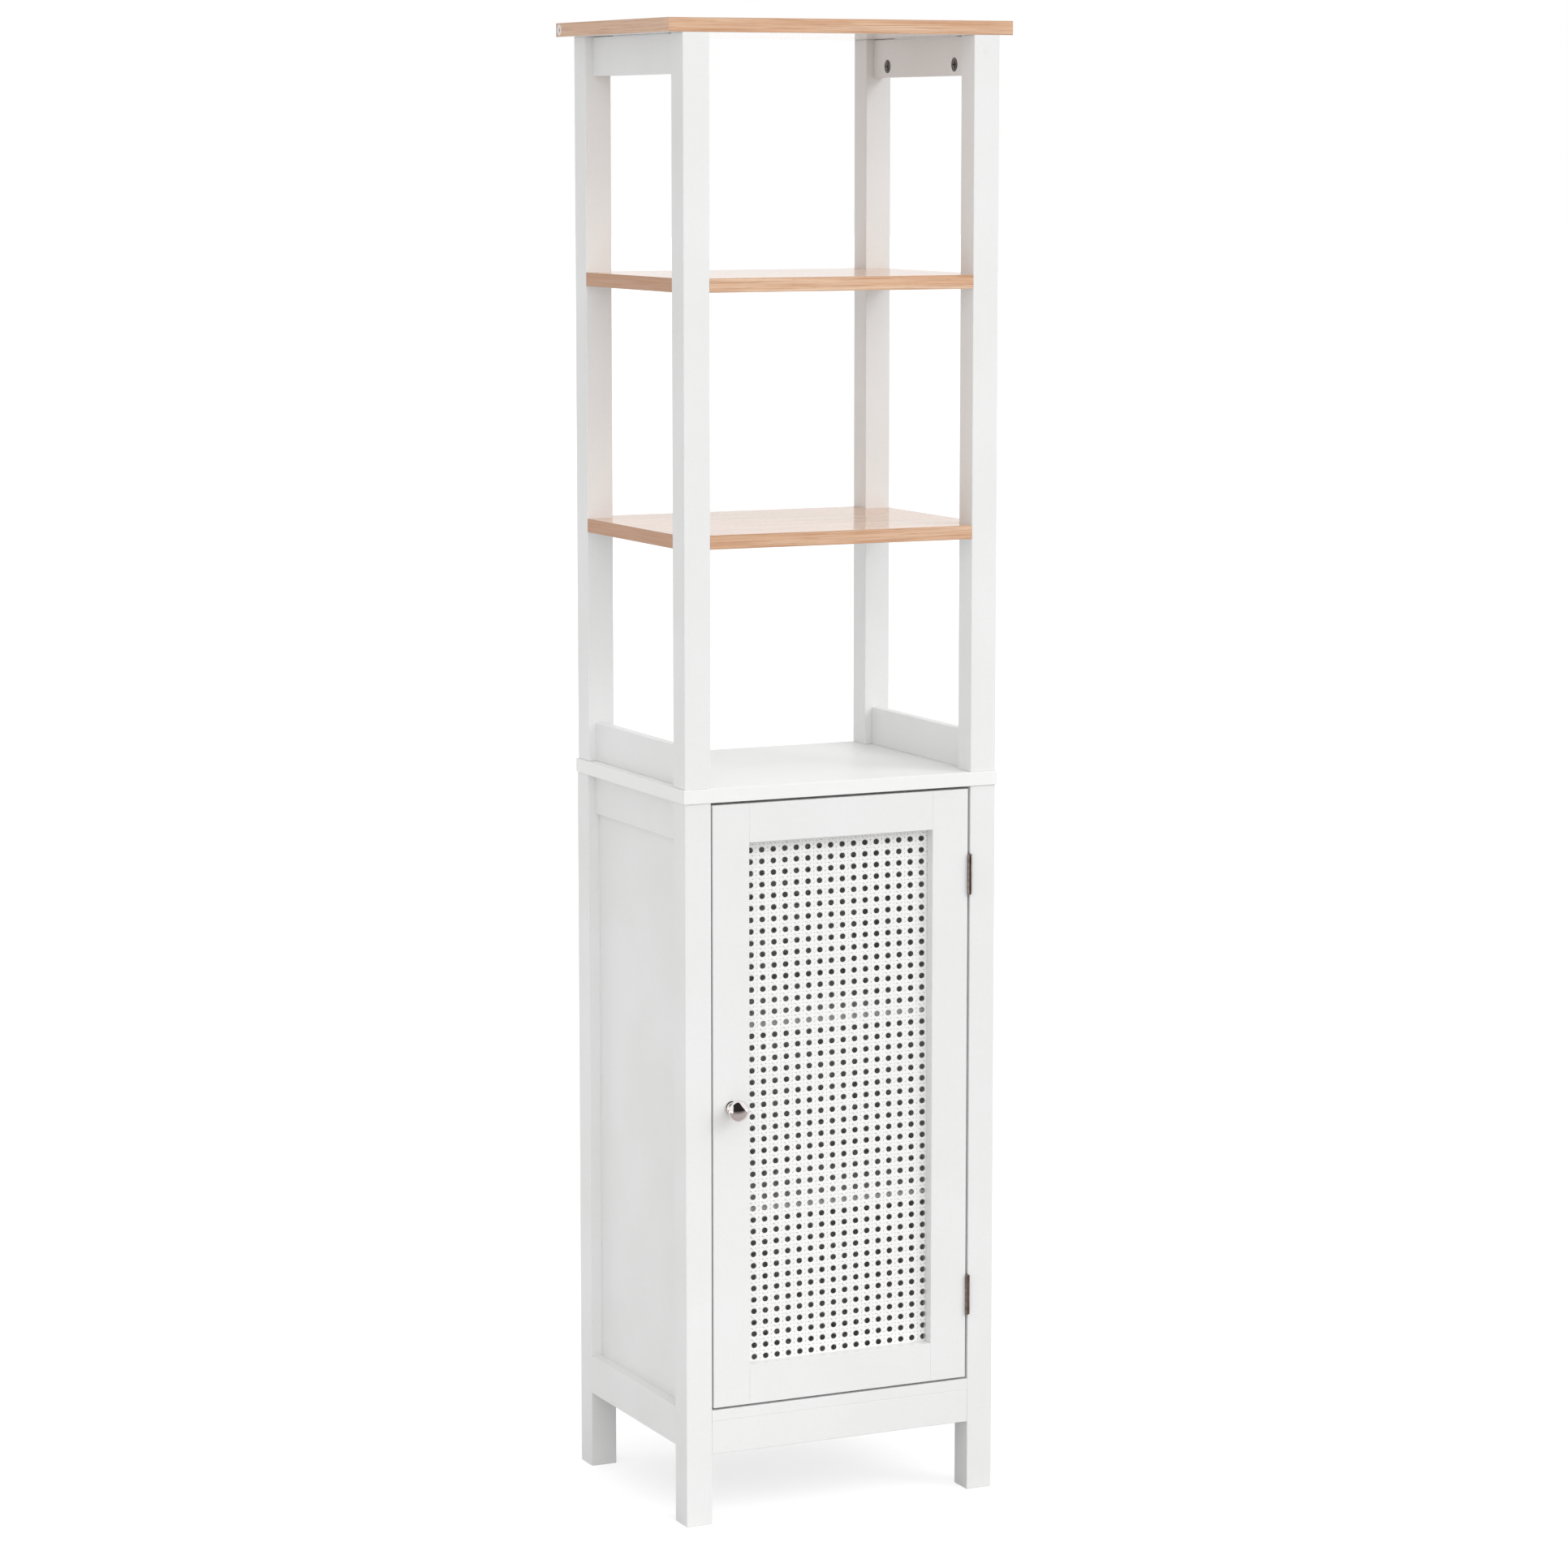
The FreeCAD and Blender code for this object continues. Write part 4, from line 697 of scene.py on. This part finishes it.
# %% Knob on the door
knob_low, knob_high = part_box("door_knob")
KNOB_X = (knob_low.x + knob_high.x) / 2
KNOB_Z = (knob_low.z + knob_high.z) / 2
KNOB_REACH = knob_high.y - knob_low.y
HEAD = (knob_high.x - knob_low.x) / 2
DOME = 0.0038           # how far the face's middle stands out from its rim
FACE_MARGIN = 0.0009    # between the dome and the head's side
TIP_ANGLE = np.radians(0.8)     # the dome stops just short of its own middle
DOME_STEPS = 24

# The face is part of a ball; the ball's radius follows from the dome's width and height.
FACE = HEAD - FACE_MARGIN
BALL = (FACE ** 2 + DOME ** 2) / (2 * DOME)
slope = np.linspace(np.arcsin(FACE / BALL), TIP_ANGLE, DOME_STEPS)
dome = np.stack([BALL * np.sin(slope), KNOB_REACH - BALL + BALL * np.cos(slope)], axis=-1)
rim = KNOB_REACH - DOME
# Corners of disc, waist, flare and rim: radius, distance from the door, and cut.
knob_foot = smooth_profile([
    (0.0022, 0.0, 0.0), (0.0082, 0.0, 0.0003), (0.0082, 0.0014, 0.0006),
    (0.0064, 0.0021, 0.0005), (0.0062, 0.0027, 0.0004), (0.0072, 0.0032, 0.0007),
    (0.0068, 0.0047, 0.0010), (0.0047, 0.0058, 0.0012), (0.0046, 0.0080, 0.0022),
    (0.0098, rim - 0.0036, 0.0020), (HEAD, rim - 0.0024, 0.0007),
    (HEAD, rim - 0.0011, 0.0006), dome[0]])
knob_line = np.concatenate([knob_foot, dome[1:]])
knob = bands_to_mesh("turned_knob", turned(knob_line, (KNOB_X, knob_high.y, KNOB_Z),
                                           (0, -1, 0), (0, 0, 1)), nickel)
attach(knob, "door")
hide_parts("door_knob")

# %% [markdown]
# ## The cap in the top board's end
# A round fitting closes a hole in the left end of the top, near the back: a pale flange
# with a well in its middle.  It is turned as well, from a short stepped profile, and
# the well is painted grey inside a radius from its own axis, as painted shade.

# %% Round cap
cap_low, cap_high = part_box("edge_cap")
CAP_Y = (cap_low.y + cap_high.y) / 2
CAP_Z = (cap_low.z + cap_high.z) / 2
CAP_R = (cap_high.z - cap_low.z) / 2
WELL_R = 0.0023
# Grey painted in the well: painted shade, deeper than the shallow well casts.
WELL_PAINTED_SHADE = colour(168, 156, 153)

# Corners of flange and well: radius, distance out from the flange's face, and cut.
cap_line = smooth_profile([
    (0.0002, -0.0014, 0.0), (CAP_R - 0.0001, -0.0014, 0.0002), (CAP_R, 0.0, 0.0003),
    (WELL_R + 0.0003, 0.0, 0.0003), (WELL_R, -0.0012, 0.0003), (0.0002, -0.0012, 0.0003)])


def cap_plastic():
    """Moulded plastic, pale on the flange, with painted shade in grey inside the well's
    radius.
    """
    plastic = Finish("pale_plastic")
    clouds = plastic.noise(plastic.place, 900.0, 2.0)
    away = plastic.add("ShaderNodeVectorMath", {
        0: plastic.stretched((0.0, 1.0, 1.0)), 1: (0.0, CAP_Y, CAP_Z)}, operation="DISTANCE")
    flange = plastic.blend(plastic.between(clouds, 0.0, 1.0), colour(246, 238, 236),
                           colour(238, 229, 226))
    shaded_well_mask = plastic.math("LESS_THAN", away.outputs["Value"], WELL_R)
    plastic.feed(plastic.shader.inputs["Base Color"],
                 plastic.blend(shaded_well_mask, flange, WELL_PAINTED_SHADE))
    plastic.feed(plastic.shader.inputs["Roughness"], plastic.between(clouds, 0.42, 0.58))
    plastic.relief(clouds, 0.00002, 0.5)
    return plastic.material


cap_finish = cap_plastic()
cap = bands_to_mesh("round_end_cap", turned(cap_line, (cap_low.x, CAP_Y, CAP_Z),
                                            (-1, 0, 0), (0, 0, 1)), cap_finish)
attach(cap, "cabinet")
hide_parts("edge_cap")

# %% [markdown]
# ## Floor, backdrop and light
# The picture has a plain white ground and soft light from above, in front and to
# the right, which leaves the left faces a shade darker and throws the knob's shadow
# down to the left.  The sky around the scene lights everything evenly.  What the camera
# and the metal see of it is pure white, but the light that it sheds is less, so that
# white paint stays a little below white.  One broad lamp, so far away that it lights
# the floor and the top of the cabinet alike, adds the direction.

# %% Light
SKY_EVEN = 0.42         # light from all around
SKY_ABOVE = 0.47        # more from straight above
SKY_FRONT = 0.91        # more from straight in front
KEY_STRENGTH = 0.58
KEY_SPREAD = math.radians(26)
KEY_FROM = Vector((0.876, -1.00, 0.87))

world = bpy.data.worlds.new("studio")
world.use_nodes = True
bpy.context.scene.world = world
sky = world.node_tree
rays = sky.nodes.new("ShaderNodeLightPath")
mirrored = sky.nodes.new("ShaderNodeMath")
mirrored.operation = "MAXIMUM"
sky.links.new(rays.outputs["Is Glossy Ray"], mirrored.inputs[0])
sky.links.new(rays.outputs["Is Transmission Ray"], mirrored.inputs[1])
seen = sky.nodes.new("ShaderNodeMath")
seen.operation = "MAXIMUM"
sky.links.new(rays.outputs["Is Camera Ray"], seen.inputs[0])
sky.links.new(mirrored.outputs[0], seen.inputs[1])
toward = sky.nodes.new("ShaderNodeSeparateXYZ")
sky.links.new(sky.nodes.new("ShaderNodeTexCoord").outputs["Generated"], toward.inputs[0])
from_front = sky.nodes.new("ShaderNodeMapRange")
sky.links.new(toward.outputs["Y"], from_front.inputs["Value"])
from_front.inputs["From Min"].default_value = -1.0
from_front.inputs["From Max"].default_value = 0.0
from_front.inputs["To Min"].default_value = SKY_EVEN + SKY_FRONT
from_front.inputs["To Max"].default_value = SKY_EVEN
from_above = sky.nodes.new("ShaderNodeMath")
from_above.operation = "MULTIPLY_ADD"
sky.links.new(toward.outputs["Z"], from_above.inputs[0])
from_above.inputs[1].default_value = SKY_ABOVE
sky.links.new(from_front.outputs[0], from_above.inputs[2])
level = sky.nodes.new("ShaderNodeMapRange")
sky.links.new(from_above.outputs[0], level.inputs["To Min"])
level.inputs["To Max"].default_value = 1.0
sky.links.new(seen.outputs[0], level.inputs["Value"])
background = sky.nodes["Background"]
background.inputs["Color"].default_value = (1.0, 1.0, 1.0, 1.0)
sky.links.new(level.outputs[0], background.inputs["Strength"])

lamp_data = bpy.data.lights.new("key", "SUN")
lamp_data.energy = KEY_STRENGTH
lamp_data.angle = KEY_SPREAD
lamp = bpy.data.objects.new("key", lamp_data)
lamp.rotation_euler = KEY_FROM.to_track_quat("Z", "Y").to_euler()
lamp.visible_glossy = False     # mirrors show the dark room and the white walls alone
bpy.context.scene.collection.objects.link(lamp)

# %% [markdown]
# ## The floor
# The ground is plain white and takes the cabinet's shadow.  It is whitest in a patch to
# the left of the cabinet and greyer elsewhere, so it throws more light up at the left
# side than at the front.  The camera and mirrors see it lifted towards white, but the
# light that it throws on the cabinet is only what its own colour gives.

# %% Floor
FLOOR_REACH = 60.0
GROUND_MIDDLE = (-1.5, 0.4, 0.0)    # the ground is whitest to the left of the cabinet
GROUND_STRETCH = 0.3    # and its white patch is long from front to back
GROUND_NEAR = 0.65      # the white starts to fade at this distance from the middle
GROUND_FAR = 1.75       # and is grey from here on
GROUND_GREY = colour(183, 183, 183)
FLOOR_GLOW = (0.40, 0.70)   # lift to white where the ground is whitest, and where grey


def pale_floor():
    """Matt white that takes shadows.  Its grey grows with the stretched distance from
    the white patch's middle, and it is lifted where the camera or metal sees it."""
    floor = Finish("pale_floor")
    mottle = floor.noise(floor.place, 14.0, 4.0)
    white = floor.blend(mottle, colour(241, 241, 241), colour(238, 238, 238))
    from_middle = floor.add("ShaderNodeVectorMath", {0: floor.place, 1: GROUND_MIDDLE},
                            operation="SUBTRACT").outputs["Vector"]
    away = floor.add("ShaderNodeVectorMath", {
        0: floor.stretched((1.0, GROUND_STRETCH, 1.0), from_middle)}, operation="LENGTH")
    far = floor.between(away.outputs["Value"], 0.0, 1.0, GROUND_NEAR, GROUND_FAR)
    floor.feed(floor.shader.inputs["Base Color"],
               floor.blend(far, white, GROUND_GREY))
    floor.shader.inputs["Roughness"].default_value = 1.0
    floor.shader.inputs["Specular IOR Level"].default_value = 0.0
    path = floor.add("ShaderNodeLightPath")
    look = floor.math("MAXIMUM", path.outputs["Is Camera Ray"],
                      floor.math("MAXIMUM", path.outputs["Is Glossy Ray"],
                                 path.outputs["Is Transmission Ray"]))
    floor.shader.inputs["Emission Color"].default_value = (1.0, 1.0, 1.0, 1.0)
    floor.feed(floor.shader.inputs["Emission Strength"],
               floor.math("MULTIPLY", look, floor.between(far, *FLOOR_GLOW, 0.0, 1.0)))
    return floor.material


def stage_sheet(name, corners, finish):
    """A flat stage piece through its corners."""
    mesh = bpy.data.meshes.new(name)
    mesh.from_pydata(corners, [], [tuple(range(len(corners)))])
    mesh.materials.append(finish)
    piece = bpy.data.objects.new(name, mesh)
    bpy.context.scene.collection.objects.link(piece)
    return piece


stage_sheet("floor", [(-FLOOR_REACH, -FLOOR_REACH, 0), (FLOOR_REACH, -FLOOR_REACH, 0),
                      (FLOOR_REACH, FLOOR_REACH, 0), (-FLOOR_REACH, FLOOR_REACH, 0)],
            pale_floor())

# %% [markdown]
# ## The dark room in front
# Polished metal has no look of its own: it shows the room.  In an all-white room it
# would vanish against the paint.  In the picture the knob mirrors the dark studio beyond
# the front edge of the white ground, with white walls to both sides.  A dark sheet in
# front of the cabinet stands for that studio.  Only mirrors see it: it sheds no light
# on the paint and casts no shadow.  It turns to a warm grey at its foot, and a second
# sheet on the floor carries that grey up to the cabinet, as the shaded ground does.

# %% Dark sheet that only mirrors see
DARK_Y = -0.65
DARK_CORNERS = [(-1.60, 0.0), (1.65, 0.0), (0.70, 0.42), (0.34, 0.64), (0.24, 0.88),
                (0.21, 1.18), (0.06, 1.38), (-0.21, 1.25), (-0.38, 1.11), (-0.50, 0.96),
                (-0.43, 0.72), (-0.45, 0.26), (-1.60, 0.20)]
DARK_FADE = (0.17, 0.43)    # heights between which its foot turns from grey to dark
DARK_GLOW = (0.50, 0.02)    # its own glow at its foot and above
WARM_GREY = (1.0, 0.89, 0.89, 1.0)
GROUND_CORNERS = [(-1.60, DARK_Y), (1.65, DARK_Y), (1.65, -0.17), (-1.60, -0.17)]
GROUND_LIFT = 0.002


def dark_room():
    """Nearly black, with a warm grey foot: its own glow falls away with height."""
    room = Finish("dark_room")
    cloud = room.noise(room.place, 1.2, 2.0)
    height = room.add("ShaderNodeSeparateXYZ", {"Vector": room.place}).outputs[2]
    room.feed(room.shader.inputs["Base Color"],
              room.blend(cloud, colour(30, 27, 26), colour(12, 11, 11)))
    room.shader.inputs["Roughness"].default_value = 1.0
    room.shader.inputs["Specular IOR Level"].default_value = 0.0
    room.shader.inputs["Emission Color"].default_value = WARM_GREY
    room.feed(room.shader.inputs["Emission Strength"],
              room.between(height, *DARK_GLOW, *DARK_FADE))
    return room.material


room_finish = dark_room()
dark = stage_sheet("dark_room", [(x, DARK_Y, z) for x, z in DARK_CORNERS], room_finish)
ground = stage_sheet("shaded_ground", [(x, y, GROUND_LIFT) for x, y in GROUND_CORNERS],
                     room_finish)
for sheet in (dark, ground):
    for kind in ("visible_camera", "visible_diffuse", "visible_shadow",
                 "visible_transmission"):
        setattr(sheet, kind, False)
